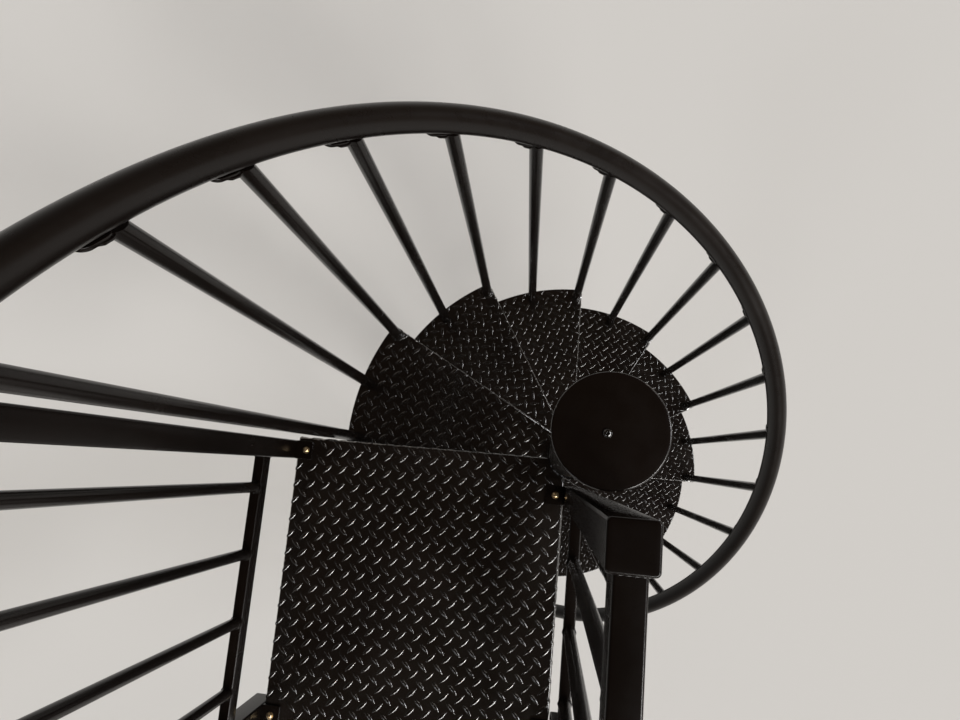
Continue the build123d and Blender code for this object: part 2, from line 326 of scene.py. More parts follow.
def weld_ring(radius_x: float, radius_y: float, size: float, steps: int = 40) -> Surface:
    """Return a weld bead of some radius round an ellipse in the plane z = 0."""
    path = np.column_stack([on_circle(turns(steps)) * (radius_x, radius_y), np.zeros(steps)])
    return bead(path, size, steps // STEPS_PER_RIPPLE)


# Finishes

class Graph:
    """Adds nodes to a shader tree and links or sets their inputs."""

    def __init__(self, tree: bpy.types.NodeTree) -> None:
        """Keep the tree that nodes are added to."""
        self.tree = tree

    def add(self, kind: str, inputs: dict | None = None, **settings: object) -> bpy.types.Node:
        """Add a node.

        Args:
            kind: The node's type name after "ShaderNode", or a full type name.
            inputs: Socket name or number to a value, or to the output socket that feeds it.
            settings: Node properties.

        Returns:
            The new node.
        """
        node = self.tree.nodes.new(kind if kind.startswith("Node") else "ShaderNode" + kind)
        for key, value in settings.items():
            setattr(node, key, value)
        for key, value in (inputs or {}).items():
            if isinstance(value, bpy.types.NodeSocket):
                self.tree.links.new(value, node.inputs[key])
            else:
                node.inputs[key].default_value = value
        return node

    def maths(self, operation: str, a: object, b: object, clamp: bool = False) -> bpy.types.NodeSocket:
        """Return the result of a two-input Math node."""
        return self.add("Math", {0: a, 1: b}, operation=operation, use_clamp=clamp).outputs[0]

    def mix(self, share: object, a: object, b: object) -> bpy.types.NodeSocket:
        """Return the colour `a` mixed towards `b`."""
        node = self.add("Mix", {0: share, 6: a, 7: b}, data_type="RGBA", clamp_factor=True)
        return node.outputs[2]

    def spread(self, value: object, low: float, high: float, to_low: float,
               to_high: float) -> bpy.types.NodeSocket:
        """Return a value mapped from one range to another and kept inside it."""
        inputs = {0: value, 1: low, 2: high, 3: to_low, 4: to_high}
        return self.add("MapRange", inputs, clamp=True).outputs[0]

    def noise(self, where: object, scale: object, detail: float) -> bpy.types.NodeSocket:
        """Return a noise value at the given coordinates."""
        return self.add("TexNoise", {"Vector": where, "Scale": scale, "Detail": detail}).outputs["Fac"]


def colour(value: Colour) -> tuple[float, float, float, float]:
    """Return a colour with full alpha."""
    return (*value, 1.0)


def finished(slot_name: str, shade: Callable[[Graph], bpy.types.NodeSocket]) -> bpy.types.Material:
    """Return a finish's material, made once.

    Args:
        slot_name: The finish's material slot, which names the material.
        shade: Adds the finish's nodes to a graph and returns the shader's output.

    Returns:
        The material.
    """
    found = bpy.data.materials.get(slot_name + "_finish")
    if found:
        return found
    made = bpy.data.materials.new(slot_name + "_finish")
    made.use_nodes = True
    made.node_tree.nodes.clear()
    g = Graph(made.node_tree)
    g.add("OutputMaterial", {"Surface": shade(g)})
    return made


class CoatGroup:
    """Shared effect: powder coat over steel, worn where the mask says, with a little dust on top."""

    NAME = "powder_coat_wear"
    SMUDGE_SCALE = 7.0
    STREAK_SCALE = (60, 60, 9)
    CHIP_SCALE = 170.0
    SPECK_SCALE = 420.0
    WEAR_GAIN = 1.7
    DUST_ROUGHNESS = 0.8
    WORN_DEPTH = 0.6
    INPUTS = (
        ("Coat", "NodeSocketColor", (0.02, 0.02, 0.02, 1)),
        ("Bare", "NodeSocketColor", (0.4, 0.37, 0.33, 1)),
        ("Dust Colour", "NodeSocketColor", (0.2, 0.17, 0.14, 1)),
        ("Wear", "NodeSocketFloat", 0.0),
        ("Dust", "NodeSocketFloat", 0.1),
        ("Roughness", "NodeSocketFloat", 0.4),
        ("Bare Roughness", "NodeSocketFloat", 0.3),
        ("Peel Scale", "NodeSocketFloat", 700.0),
    )
    OUTPUTS = (
        ("Color", "NodeSocketColor"),
        ("Roughness", "NodeSocketFloat"),
        ("Metallic", "NodeSocketFloat"),
        ("Height", "NodeSocketFloat"),
    )

    @classmethod
    def get(cls) -> bpy.types.NodeTree:
        """Return the group, made once."""
        return bpy.data.node_groups.get(cls.NAME) or cls().build()

    def build(self) -> bpy.types.NodeTree:
        """Make the group's sockets and nodes.

        Returns:
            The group.
        """
        tree = bpy.data.node_groups.new(self.NAME, "ShaderNodeTree")
        for name, kind, value in self.INPUTS:
            tree.interface.new_socket(name, in_out="INPUT", socket_type=kind).default_value = value
        for name, kind in self.OUTPUTS:
            tree.interface.new_socket(name, in_out="OUTPUT", socket_type=kind)
        g = Graph(tree)
        given = g.add("NodeGroupInput").outputs
        where = g.add("TexCoord").outputs["Object"]
        normal = g.add("NewGeometry").outputs["Normal"]
        smudge = g.noise(where, self.SMUDGE_SCALE, 5.0)
        stretched = g.add("Mapping", {"Vector": where, "Scale": self.STREAK_SCALE}).outputs[0]
        streak = g.noise(stretched, 1.0, 3.0)
        chips = g.noise(where, self.CHIP_SCALE, 4.0)
        specks = g.noise(where, self.SPECK_SCALE, 2.0)
        peel = g.noise(where, given["Peel Scale"], 2.0)
        chipped = g.spread(chips, 0.3, 0.7, 0.0, 1.0)
        worn = g.maths("SUBTRACT", g.maths("MULTIPLY", given["Wear"], self.WEAR_GAIN), chipped)
        worn = g.spread(worn, 0.0, 0.45, 0.0, 1.0)
        facing = g.add("SeparateXYZ", {0: normal}).outputs["Z"]
        upward = g.spread(facing, 0.3, 1.0, 0.0, 1.0)
        dusty = g.maths("MULTIPLY", upward, g.spread(smudge, 0.35, 0.7, 0.25, 1.0))
        dusty = g.maths("MULTIPLY", dusty, g.spread(specks, 0.4, 0.65, 0.35, 1.0))
        dusty = g.maths("MULTIPLY", dusty, given["Dust"], clamp=True)
        lighter = g.spread(smudge, 0.3, 0.7, 0.8, 1.25)
        shade = g.add("HueSaturation", {"Value": lighter, "Color": given["Coat"]}).outputs[0]
        coated = g.mix(dusty, shade, given["Dust Colour"])
        shown = g.mix(worn, coated, given["Bare"])
        rough = g.maths("ADD", given["Roughness"], g.spread(smudge, 0.3, 0.7, -0.025, 0.035))
        rough = g.maths("ADD", rough, g.spread(streak, 0.35, 0.65, -0.012, 0.015))
        rough = g.maths("ADD", rough, g.maths("MULTIPLY", dusty, self.DUST_ROUGHNESS), clamp=True)
        blended = g.add("Mix", {0: worn, 2: rough, 3: given["Bare Roughness"]}, data_type="FLOAT").outputs[0]
        height = g.maths("SUBTRACT", peel, g.maths("MULTIPLY", worn, self.WORN_DEPTH))
        g.add("NodeGroupOutput", {"Color": shown, "Roughness": blended, "Metallic": worn, "Height": height})
        return tree


@dataclass(frozen=True)
class CoatFinish:
    """A powder-coated steel surface."""

    slot: str
    coat: Colour
    roughness: float
    bare: Colour = (0.30, 0.28, 0.26)
    bare_roughness: float = 0.34
    dust: float = 0.05
    peel_scale: float = 650.0
    peel_depth: float = 0.00006
    gloss: float = 0.0
    gloss_roughness: float = 0.12
    index: float = 1.6

    def shade(self, g: Graph) -> bpy.types.NodeSocket:
        """Add the coat's nodes.

        Args:
            g: The material's graph.

        Returns:
            The shader's output.
        """
        coat = {
            "Coat": colour(self.coat),
            "Bare": colour(self.bare),
            "Wear": g.add("Attribute", attribute_name="wear", attribute_type="GEOMETRY").outputs["Fac"],
            "Dust": self.dust,
            "Roughness": self.roughness,
            "Bare Roughness": self.bare_roughness,
            "Peel Scale": self.peel_scale,
        }
        effect = g.add("Group", coat, node_tree=CoatGroup.get()).outputs
        bump = g.add("Bump", {"Height": effect["Height"], "Strength": 1.0, "Distance": self.peel_depth})
        look = {
            "Base Color": effect["Color"],
            "Roughness": effect["Roughness"],
            "Metallic": effect["Metallic"],
            "Normal": bump.outputs[0],
            "IOR": self.index,
            "Coat Weight": self.gloss,
            "Coat Roughness": self.gloss_roughness,
        }
        return g.add("BsdfPrincipled", look).outputs[0]

    def material(self) -> bpy.types.Material:
        """Return the finish's material, made once."""
        return finished(self.slot, self.shade)


@dataclass(frozen=True)
class PlatedFinish:
    """Yellow-zinc plated fastener steel."""

    slot: str
    tint: Colour
    bloom_tint: Colour = (0.62, 0.5, 0.42)
    roughness: float = 0.26
    bloom_scale: float = 260.0
    brush_scale: float = 1500.0
    brush_depth: float = 0.00002

    def shade(self, g: Graph) -> bpy.types.NodeSocket:
        """Add the plating's nodes.

        Args:
            g: The material's graph.

        Returns:
            The shader's output.
        """
        where = g.add("TexCoord").outputs["Object"]
        bloom = g.noise(where, self.bloom_scale, 3.0)
        brushed = g.noise(where, self.brush_scale, 2.0)
        tone = g.mix(g.spread(bloom, 0.35, 0.65, 0.0, 0.45), colour(self.tint), colour(self.bloom_tint))
        rough = g.maths("ADD", g.spread(bloom, 0.3, 0.7, -0.05, 0.12), self.roughness)
        bump = g.add("Bump", {"Height": brushed, "Strength": 1.0, "Distance": self.brush_depth})
        look = {"Base Color": tone, "Roughness": rough, "Metallic": 1.0, "Normal": bump.outputs[0]}
        return g.add("BsdfPrincipled", look).outputs[0]

    def material(self) -> bpy.types.Material:
        """Return the finish's material, made once."""
        return finished(self.slot, self.shade)


class Finish(Enum):
    """The stair's finishes, one for each material slot of the record."""

    PLATE = CoatFinish(
        "tread_plate", (0.0038, 0.0023, 0.0015), 0.22, dust=0.006, peel_depth=0.00002, gloss=0.5, index=1.8
    )
    POLE = CoatFinish("pole_coat", (0.0034, 0.0018, 0.0011), 0.22, dust=0.002, peel_depth=0.00002)
    TUBE = CoatFinish(
        "tube_coat", (0.0032, 0.0019, 0.0013), 0.24, dust=0.002, peel_depth=0.00002, index=1.36
    )
    RAIL = CoatFinish(
        "handrail_coat", (0.0034, 0.0020, 0.0014), 0.28, dust=0.002, peel_depth=0.00002, index=1.36
    )
    COLLAR = CoatFinish(
        "collar_coat", (0.006, 0.005, 0.004), 0.18, dust=0.0, peel_depth=0.00001, gloss=1.0
    )
    FASTENER = PlatedFinish("fastener", (0.72, 0.55, 0.3))


def piece(name: str, surface: Surface, finish: Finish, nodes: Sequence[str] = (),
          crease: float = CREASE) -> bpy.types.Object:
    """Put a surface into a mesh object that rides with the stair.

    Args:
        name: The piece's name.
        surface: Its skins.
        finish: Its finish, which also gives its material slot.
        nodes: The construction's nodes that it stands for.
        crease: Edges that turn more than this many degrees stay sharp.

    Returns:
        The new object.
    """
    mesh = bpy.data.meshes.new(name)
    quads, caps = surface.quads, surface.caps
    loops = np.concatenate([quads.reshape(-1), *caps]).astype(np.int32)
    totals = np.concatenate([np.full(len(quads), 4), [len(c) for c in caps]]).astype(np.int32)
    starts = np.concatenate([[0], np.cumsum(totals)[:-1]]).astype(np.int32)
    mesh.vertices.add(len(surface.points))
    mesh.vertices.foreach_set("co", surface.points.astype(np.float32).ravel())
    mesh.loops.add(len(loops))
    mesh.loops.foreach_set("vertex_index", loops)
    mesh.polygons.add(len(totals))
    mesh.polygons.foreach_set("loop_start", starts)
    mesh.polygons.foreach_set("loop_total", totals)
    mesh.polygons.foreach_set("use_smooth", np.ones(len(totals), bool))
    mesh.update(calc_edges=True)
    mesh.validate()
    mesh.set_sharp_from_angle(angle=math.radians(crease))
    mesh.attributes.new("wear", "FLOAT", "POINT").data.foreach_set("value", surface.wear.astype(np.float32))
    mesh.materials.append(finish.value.material())
    made = bpy.data.objects.new(name, mesh)
    bpy.context.scene.collection.objects.link(made)
    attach(made, BODY)
    if nodes:
        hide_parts(*nodes)
    LOG.info("%s: %d faces", name, len(totals))
    return made


# Sizes that the pieces share

@dataclass(frozen=True)
class Layout:
    """Where the stair's pieces lie: sizes in metres, bearings in degrees."""

    tread_count: int = 11
    turn: float = 30.0
    landing_bearing: float = 180.3
    rise: float = round(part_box("tread_03")[1].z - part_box("tread_02")[1].z, 6)
    hub_above_tread: float = 8 * MM
    hub_radius: float = 44.5 * MM
    base_thickness: float = 10 * MM
    baluster_radius: float = 12 * MM
    baluster_circle: float = 510 * MM
    baluster_lean: float = 2.7
    landing_baluster_lean: float = -1.0
    mid_offset: float = 13.98
    nosing_offset: float = -1.15
    foot_flange: float = 6 * MM
    rail_radius: float = 21 * MM
    rail_circle: float = 498 * MM
    rail_above_nosing: float = 949 * MM
    rail_overrun: float = 6.0
    tab_clearance: float = 0.3 * MM

    @property
    def landing_top(self) -> float:
        """Height of the landing's plate."""
        return self.rise * (self.tread_count + 1)

    @property
    def climb(self) -> float:
        """Rise for each degree of turn."""
        return self.rise / self.turn

    @property
    def slope(self) -> float:
        """Slope of the handrail in radians."""
        return math.atan(math.degrees(self.climb) / self.rail_circle)

    def tread_bearing(self, number: int) -> float:
        """Bearing of the radial that a tread starts from; the landing counts as the last tread."""
        return self.landing_bearing - self.turn * (self.tread_count + 1 - number)

    def rail_height(self, bearing: float | Array) -> float | Array:
        """Height of the handrail's centreline."""
        start = self.landing_bearing + self.nosing_offset
        return self.landing_top + self.rail_above_nosing + (bearing - start) * self.climb

    def baluster_ends(self, bearing: float, seat: float, lean: float) -> tuple[Array, Array]:
        """Foot and top of a baluster, which leans downhill by some degrees about the pole."""
        height = self.rail_height(bearing - lean)
        return polar(self.baluster_circle, bearing, seat), polar(self.rail_circle, bearing - lean, height)

    def tab_frame(self, bearing: float) -> tuple[Array, Array]:
        """Return where the fixing tab under the handrail lies.

        Args:
            bearing: The bearing of the baluster's top.

        Returns:
            Axes, the first uphill along the handrail and the last towards its centreline, and origin.
        """
        angle = math.radians(bearing)
        level = np.array([-math.sin(angle), math.cos(angle), 0])
        uphill = level * math.cos(self.slope) + np.array([0, 0, math.sin(self.slope)])
        normal = -level * math.sin(self.slope) + np.array([0, 0, math.cos(self.slope)])
        centre = polar(self.rail_circle, bearing, self.rail_height(bearing))
        origin = centre - normal * (self.rail_radius + self.tab_clearance)
        return np.array([uphill, np.cross(normal, uphill), normal]), origin


LAYOUT = Layout()


# Raised plate

@dataclass(frozen=True)
class RaisedPattern:
    """Raised lugs of floor plate: two lattices of pointed lugs, half a pitch apart and crosswise.

    The bearing is the direction of the longer pitch in the plate's own plan, and the start is the
    plan point of one lug's centre. Each ring of a lug has an inset as a share of the half-width, a
    level as a share of the height, and a wear. The first ring lies sunk in the plate. The lug reach is
    how far a crosswise lug reaches past its centre, as a share of its length.
    """

    bearing: float = 0.0
    start: tuple[float, float] = (0.0, 0.0)
    long_pitch: float = 34.45 * MM
    cross_pitch: float = 31.65 * MM
    length: float = 29 * MM
    width: float = 8.0 * MM
    height: float = 1.5 * MM
    sink: float = 0.4 * MM
    rings: Profile = ((0.0, 0.0, 0.0), (0.18, 0.34, 0.0), (0.44, 0.64, 0.02), (0.70, 0.94, 0.03))
    around: int = 16
    lug_reach: float = 0.36

    def template(self) -> tuple[Array, Array]:
        """Return one lug's points and wear.

        The outline is a lens between two arcs of radius R that meet at the tips. A ring at inset d has
        the arcs' radius R - d: x = (R - d) sin t and y = (R - d) cos t - (R - W/2), and the same below.

        Returns:
            Points of shape (rings, around, 3), and the wear of each.
        """
        half = self.width / 2
        radius = ((self.length / 2) ** 2 + half ** 2) / (2 * half)
        inset, level, wear = np.array(self.rings).T
        level = level * self.height
        level[0] = -self.sink
        arc = radius - inset * half
        tip = np.arccos((radius - half) / arc)
        share = np.linspace(-1, 1, self.around // 2 + 1)[:-1]
        turn = tip[:, None] * share
        upper = np.stack([arc[:, None] * np.sin(turn), arc[:, None] * np.cos(turn) - (radius - half)], -1)
        plan = np.concatenate([upper, -upper], 1)
        return raised(plan, level), np.repeat(wear, self.around)

    def lattice(self, reach: float) -> tuple[Array, Array]:
        """Lay out the lugs.

        Args:
            reach: Half-width of the square that they cover.

        Returns:
            The lugs' centres, and their directions in radians.
        """
        count = math.ceil(reach / self.cross_pitch) + 1
        steps = np.arange(-count, count + 1)
        along, across = np.meshgrid(steps * self.long_pitch, steps * self.cross_pitch)
        first = np.stack([along.ravel(), across.ravel()], -1)
        centres = np.concatenate([first, first + np.array([self.long_pitch, self.cross_pitch]) / 2])
        directions = math.radians(self.bearing) + np.repeat([math.pi / 4, -math.pi / 4], len(first))
        return centres @ upright_axes(self.bearing)[:2, :2] + np.array(self.start), directions

    def lugs(self, centres: Array, directions: Array) -> Array:
        """Set a lug at each centre.

        Args:
            centres: Plan points.
            directions: Directions in radians.

        Returns:
            Points of shape (lugs, rings, around, 3), with heights above the plate.
        """
        px, py, pz = np.moveaxis(self.template()[0], -1, 0)
        c, s = np.cos(directions)[:, None, None], np.sin(directions)[:, None, None]
        x = px * c - py * s + centres[:, 0, None, None]
        y = px * s + py * c + centres[:, 1, None, None]
        return np.stack(np.broadcast_arrays(x, y, pz), -1)

    def surface(self, lugs: Array) -> Surface:
        """Skin the lugs.

        Args:
            lugs: Points of shape (lugs, rings, around, 3).

        Returns:
            All the lugs as one surface of closed skins.
        """
        points, wear = self.template()
        one = skin(points)
        starts = np.arange(len(lugs)) * len(one.points)
        quads = (one.quads[None] + starts[:, None, None]).reshape(-1, 4)
        caps = [cap + start for start in starts for cap in one.caps]
        return Surface(lugs.reshape(-1, 3), quads, caps, np.tile(wear, len(lugs)))


@dataclass(frozen=True)
class Edge:
    """A straight edge of a plate: its outward normal, its distance from the origin and its lip."""

    normal: tuple[float, float]
    offset: float
    lip: float
    fold: float

    def beyond(self, plan: Array) -> Array:
        """Return how far points lie past the start of the fold."""
        return plan @ np.array(self.normal) - (self.offset - self.fold)

    def limit(self, margin: float) -> float:
        """Return how far past the fold's start a lug's centre may lie, a margin short of the lip's end."""
        return self.fold * math.pi / 2 + self.lip - self.fold - margin if self.lip else self.fold

    def carry(self, points: Array) -> Array:
        """Carry points round the fold and down the lip.

        A point at distance d past the fold's start and height h above the plate goes to the angle
        d / r, at r + h from the fold's axis, and what is left of d past a quarter turn runs down.

        Args:
            points: Points of any shape, with heights above the flat plate.

        Returns:
            The carried points.
        """
        n = np.array(self.normal)
        d = np.maximum(self.beyond(points[..., :2]), 0)
        angle = np.minimum(d / self.fold, math.pi / 2)
        h = points[..., 2]
        run = (self.fold + h) * np.sin(angle) - d
        down = np.maximum(d - self.fold * math.pi / 2, 0)
        bent = points.copy()
        bent[..., :2] += run[..., None] * n
        bent[..., 2] = np.where(d > 0, (self.fold + h) * np.cos(angle) - self.fold - down, h)
        return bent


BARE_ROUND_HUB = 4 * MM
FOLD_WEAR = (0.05, 0.12, 0.24, 0.26, 0.16, 0.05)
CUT_SHARE = 0.7
TINY = 1e-9
LUG_CREASE = 80.0
ROUND_CREASE = 60.0
HUB_SIDES = 96
HUB_END = ((6 * MM, 0, 0), (1 * MM, 0, 0), (0, -1 * MM, 0.1), (0, -3 * MM, 0))
WELD_REACH = 0.5 * MM
SCREW_SIDES = 32
SCREW_SINK = 0.2 * MM
SOCKET_ROWS = ((0.85, 0.2), (0.7, 0.0))
PAN_EASE = 0.6 * MM
PAN_FLAT = (1.5 * MM, 5 * MM)
PATTERN_STARTS = {11: (11.6, 49.6), 10: (17.2, 10.8), 9: (7.5, 27.2)}
LOWER_STARTS = (5.0, 16.0)
RAIL_AXES = np.array([[1.0, 0, 0], [0, 0, 1.0], [0, -1.0, 0]])


def patterned(pattern: RaisedPattern, edges: Sequence[Edge], reach: float, radius: float,
              clear: Profile) -> Surface:
    """Cover a folded plate with lugs.

    Args:
        pattern: The raised pattern.
        edges: The plate's straight edges. A lip of 0 cuts the lugs off at that edge.
        reach: Half-width of the lattice that covers the plate.
        radius: Outer radius that cuts the lugs off, or infinity.
        clear: Round places kept bare, each x, y and radius.

    Returns:
        The lugs' surface, with the plate's top at z = 0.
    """
    centres, directions = pattern.lattice(reach)
    past = np.stack([e.beyond(centres) for e in edges])
    limits = np.array([[e.limit(pattern.length * pattern.lug_reach)] for e in edges])
    keep = (past < limits).all(0) & ((past > 0).sum(0) < 2)
    keep &= np.linalg.norm(centres, axis=1) < radius
    for x, y, r in clear:
        keep &= np.hypot(centres[:, 0] - x, centres[:, 1] - y) > r
    lugs = pattern.lugs(centres[keep], directions[keep])
    far = np.linalg.norm(lugs[..., :2], axis=-1)
    lugs[..., :2] *= np.minimum(1, radius / np.maximum(far, TINY))[..., None]
    for edge in edges:
        if edge.lip:
            lugs = edge.carry(lugs)
        else:
            d = np.maximum(edge.beyond(lugs[..., :2]) - edge.fold * CUT_SHARE, 0)
            lugs[..., :2] -= d[..., None] * np.array(edge.normal)
    return pattern.surface(lugs)


def pan_profile(plate: float, lip: float, depth: float, fold: float) -> Profile:
    """Return a folded pan's profile, from the plate's underside round the lip to its top.

    Args:
        plate: The plate's thickness.
        lip: The lip's thickness.
        depth: How far the lip turns down.
        fold: The fold's outer radius.

    Returns:
        Rows of inset, height and wear.
    """
    ease = PAN_EASE
    rows = [(lip, -plate, 0.0), (lip, -depth + ease, 0.0), (lip - ease, -depth, 0.1), (ease, -depth, 0.1)]
    rows += [(0.0, -depth + ease, 0.0), (0.0, -fold * 2, 0.0), (0.0, -fold * 1.3, 0.05)]
    rows += [(i, -d, w) for (i, d), w in zip(quarter(fold, len(FOLD_WEAR) - 1), FOLD_WEAR)]
    return rows + [(fold + inset, 0.0, 0.0) for inset in PAN_FLAT]


# Treads

def hub_sleeve(bottom: float, top: float) -> Surface:
    """Return a hub sleeve, with eased ends that show the joint below the next hub.

    Args:
        bottom: Height of its lower end.
        top: Height of its upper end.

    Returns:
        The sleeve about the pole.
    """
    low = [(LAYOUT.hub_radius - inset, bottom - rise, wear) for inset, rise, wear in HUB_END]
    high = from_edge(HUB_END[::-1], LAYOUT.hub_radius, top)
    return lathe(low + high, HUB_SIDES, closed=True)


def hub_weld(size: float, height: float = 0.0) -> Surface:
    """Return a weld bead of some radius that runs round the hubs at a height."""
    reach = LAYOUT.hub_radius + WELD_REACH
    return weld_ring(reach, reach, size, HUB_SIDES).moved(0, 0, height)


def dome_head(radius: float, height: float, socket: float) -> Surface:
    """Return a dome screw head on z = 0 with a round socket.

    The dome's radius at angle a is r cos a and its height h sin a, until it meets the socket.

    Args:
        radius: The head's radius.
        height: How high the dome would rise without its socket.
        socket: The socket's radius and depth.

    Returns:
        The head's skin.
    """
    a = np.linspace(0, math.acos(socket / radius), 8)
    dome = [(radius * math.cos(t), height * math.sin(t), 0.0) for t in a]
    low = dome[-1][1] - socket
    bore = [(socket * share, low + socket * rise, 0.0) for share, rise in SOCKET_ROWS]
    return lathe([(radius, -SCREW_SINK, 0.0)] + dome + bore, SCREW_SIDES)


@dataclass(frozen=True)
class Tread:
    """One pan tread with its hub, welds and raised pattern."""

    number: int
    radius: float = 532.9 * MM
    nosing: float = 29.5 * MM
    tuck: float = 25 * MM
    inner: float = 2 * MM
    plate: float = 5 * MM
    lip: float = 4 * MM
    depth: float = 36 * MM
    fold: float = 3 * MM
    weld: float = 2.4 * MM
    arc_points: int = 49
    pattern_bearing: float = 22.95
    pattern_reach: float = 1.1
    bare_rim: float = 1.2 * MM
    bare_round_baluster: float = 5 * MM
    scuffed_elsewhere: float = 0.25

    def pattern_start(self) -> tuple[float, float]:
        """Return where this tread's raised pattern starts; each was cut from another place in its sheet."""
        x, y = PATTERN_STARTS.get(self.number, (LOWER_STARTS[0] * self.number, LOWER_STARTS[1]))
        return x * MM, y * MM

    def outline(self, inset: float) -> Array:
        """Return the plan outline, with the tread's own radial along +X.

        With inset i it is an arc of radius R - i about the pole, between two straight edges that lie
        nosing - i and tuck - i outside the two radials and run in to the hub.

        Args:
            inset: How far the outline is drawn in.

        Returns:
            Plan points, anticlockwise.
        """
        along, across = upright_axes(LAYOUT.turn)[:2, :2]
        radius, nosing, tuck = self.radius - inset, self.nosing - inset, self.tuck - inset
        start, end = -math.asin(nosing / radius), math.radians(LAYOUT.turn) + math.asin(tuck / radius)
        a = start + (end - start) * np.linspace(0, 1, self.arc_points)
        near = [across * tuck + along * self.inner, np.array([self.inner, -nosing])]
        return np.concatenate([radius * on_circle(a), near])

    def pan(self) -> Surface:
        """Shape the pan: plate, fold and turned-down lip.

        Returns:
            The pan, scuffed most along its front edge.
        """
        shape = moulded(self.outline, pan_profile(self.plate, self.lip, self.depth, self.fold))
        front = shape.points[:, 1] < -self.nosing + 2 * self.fold
        return shape.rubbed(np.where(front, 1.0, self.scuffed_elsewhere))

    def lugs(self) -> Surface:
        """Shape the raised pattern round the front and rear folds.

        Returns:
            The lugs, clear of the hub, of what lies behind it and of the balusters.
        """
        rear = tuple(upright_axes(LAYOUT.turn)[1, :2])
        sides = (((0.0, -1.0), self.nosing), (rear, self.tuck))
        edges = [Edge(normal, offset, self.depth, self.fold) for normal, offset in sides]
        offsets = (LAYOUT.mid_offset, LAYOUT.nosing_offset, LAYOUT.turn + LAYOUT.nosing_offset)
        bare = LAYOUT.baluster_radius + self.bare_round_baluster
        clear = [(*polar(LAYOUT.baluster_circle, offset)[:2], bare) for offset in offsets]
        clear += [(0.0, 0.0, LAYOUT.hub_radius + BARE_ROUND_HUB), (-self.radius, 0.0, self.radius)]
        pattern = RaisedPattern(self.pattern_bearing, self.pattern_start())
        reach, rim = self.radius * self.pattern_reach, self.radius - self.bare_rim
        return patterned(pattern, edges, reach, rim, clear)

    def hub(self) -> Surface:
        """Return the hub sleeve, which reaches the hub below or the base plate."""
        bottom = LAYOUT.base_thickness if self.number == 1 else LAYOUT.hub_above_tread
        return hub_sleeve(bottom - LAYOUT.rise, LAYOUT.hub_above_tread)

    def build(self) -> list[bpy.types.Object]:
        """Make the tread.

        Returns:
            Its pieces.
        """
        axes, origin = upright_axes(LAYOUT.tread_bearing(self.number)), (0, 0, self.number * LAYOUT.rise)
        body = joined([self.pan(), hub_weld(self.weld), hub_weld(self.weld, -self.plate)])
        made = []
        for part, surface, finish, crease in (
            ("pan", body, Finish.PLATE, CREASE),
            ("pattern", self.lugs(), Finish.PLATE, LUG_CREASE),
            ("hub", self.hub(), Finish.POLE, CREASE),
        ):
            name, node = f"tread_{part}_{self.number:02d}", f"tread_{self.number:02d}"
            made.append(piece(name, surface.placed(axes, origin), finish, (node,), crease))
        return made


# Landing

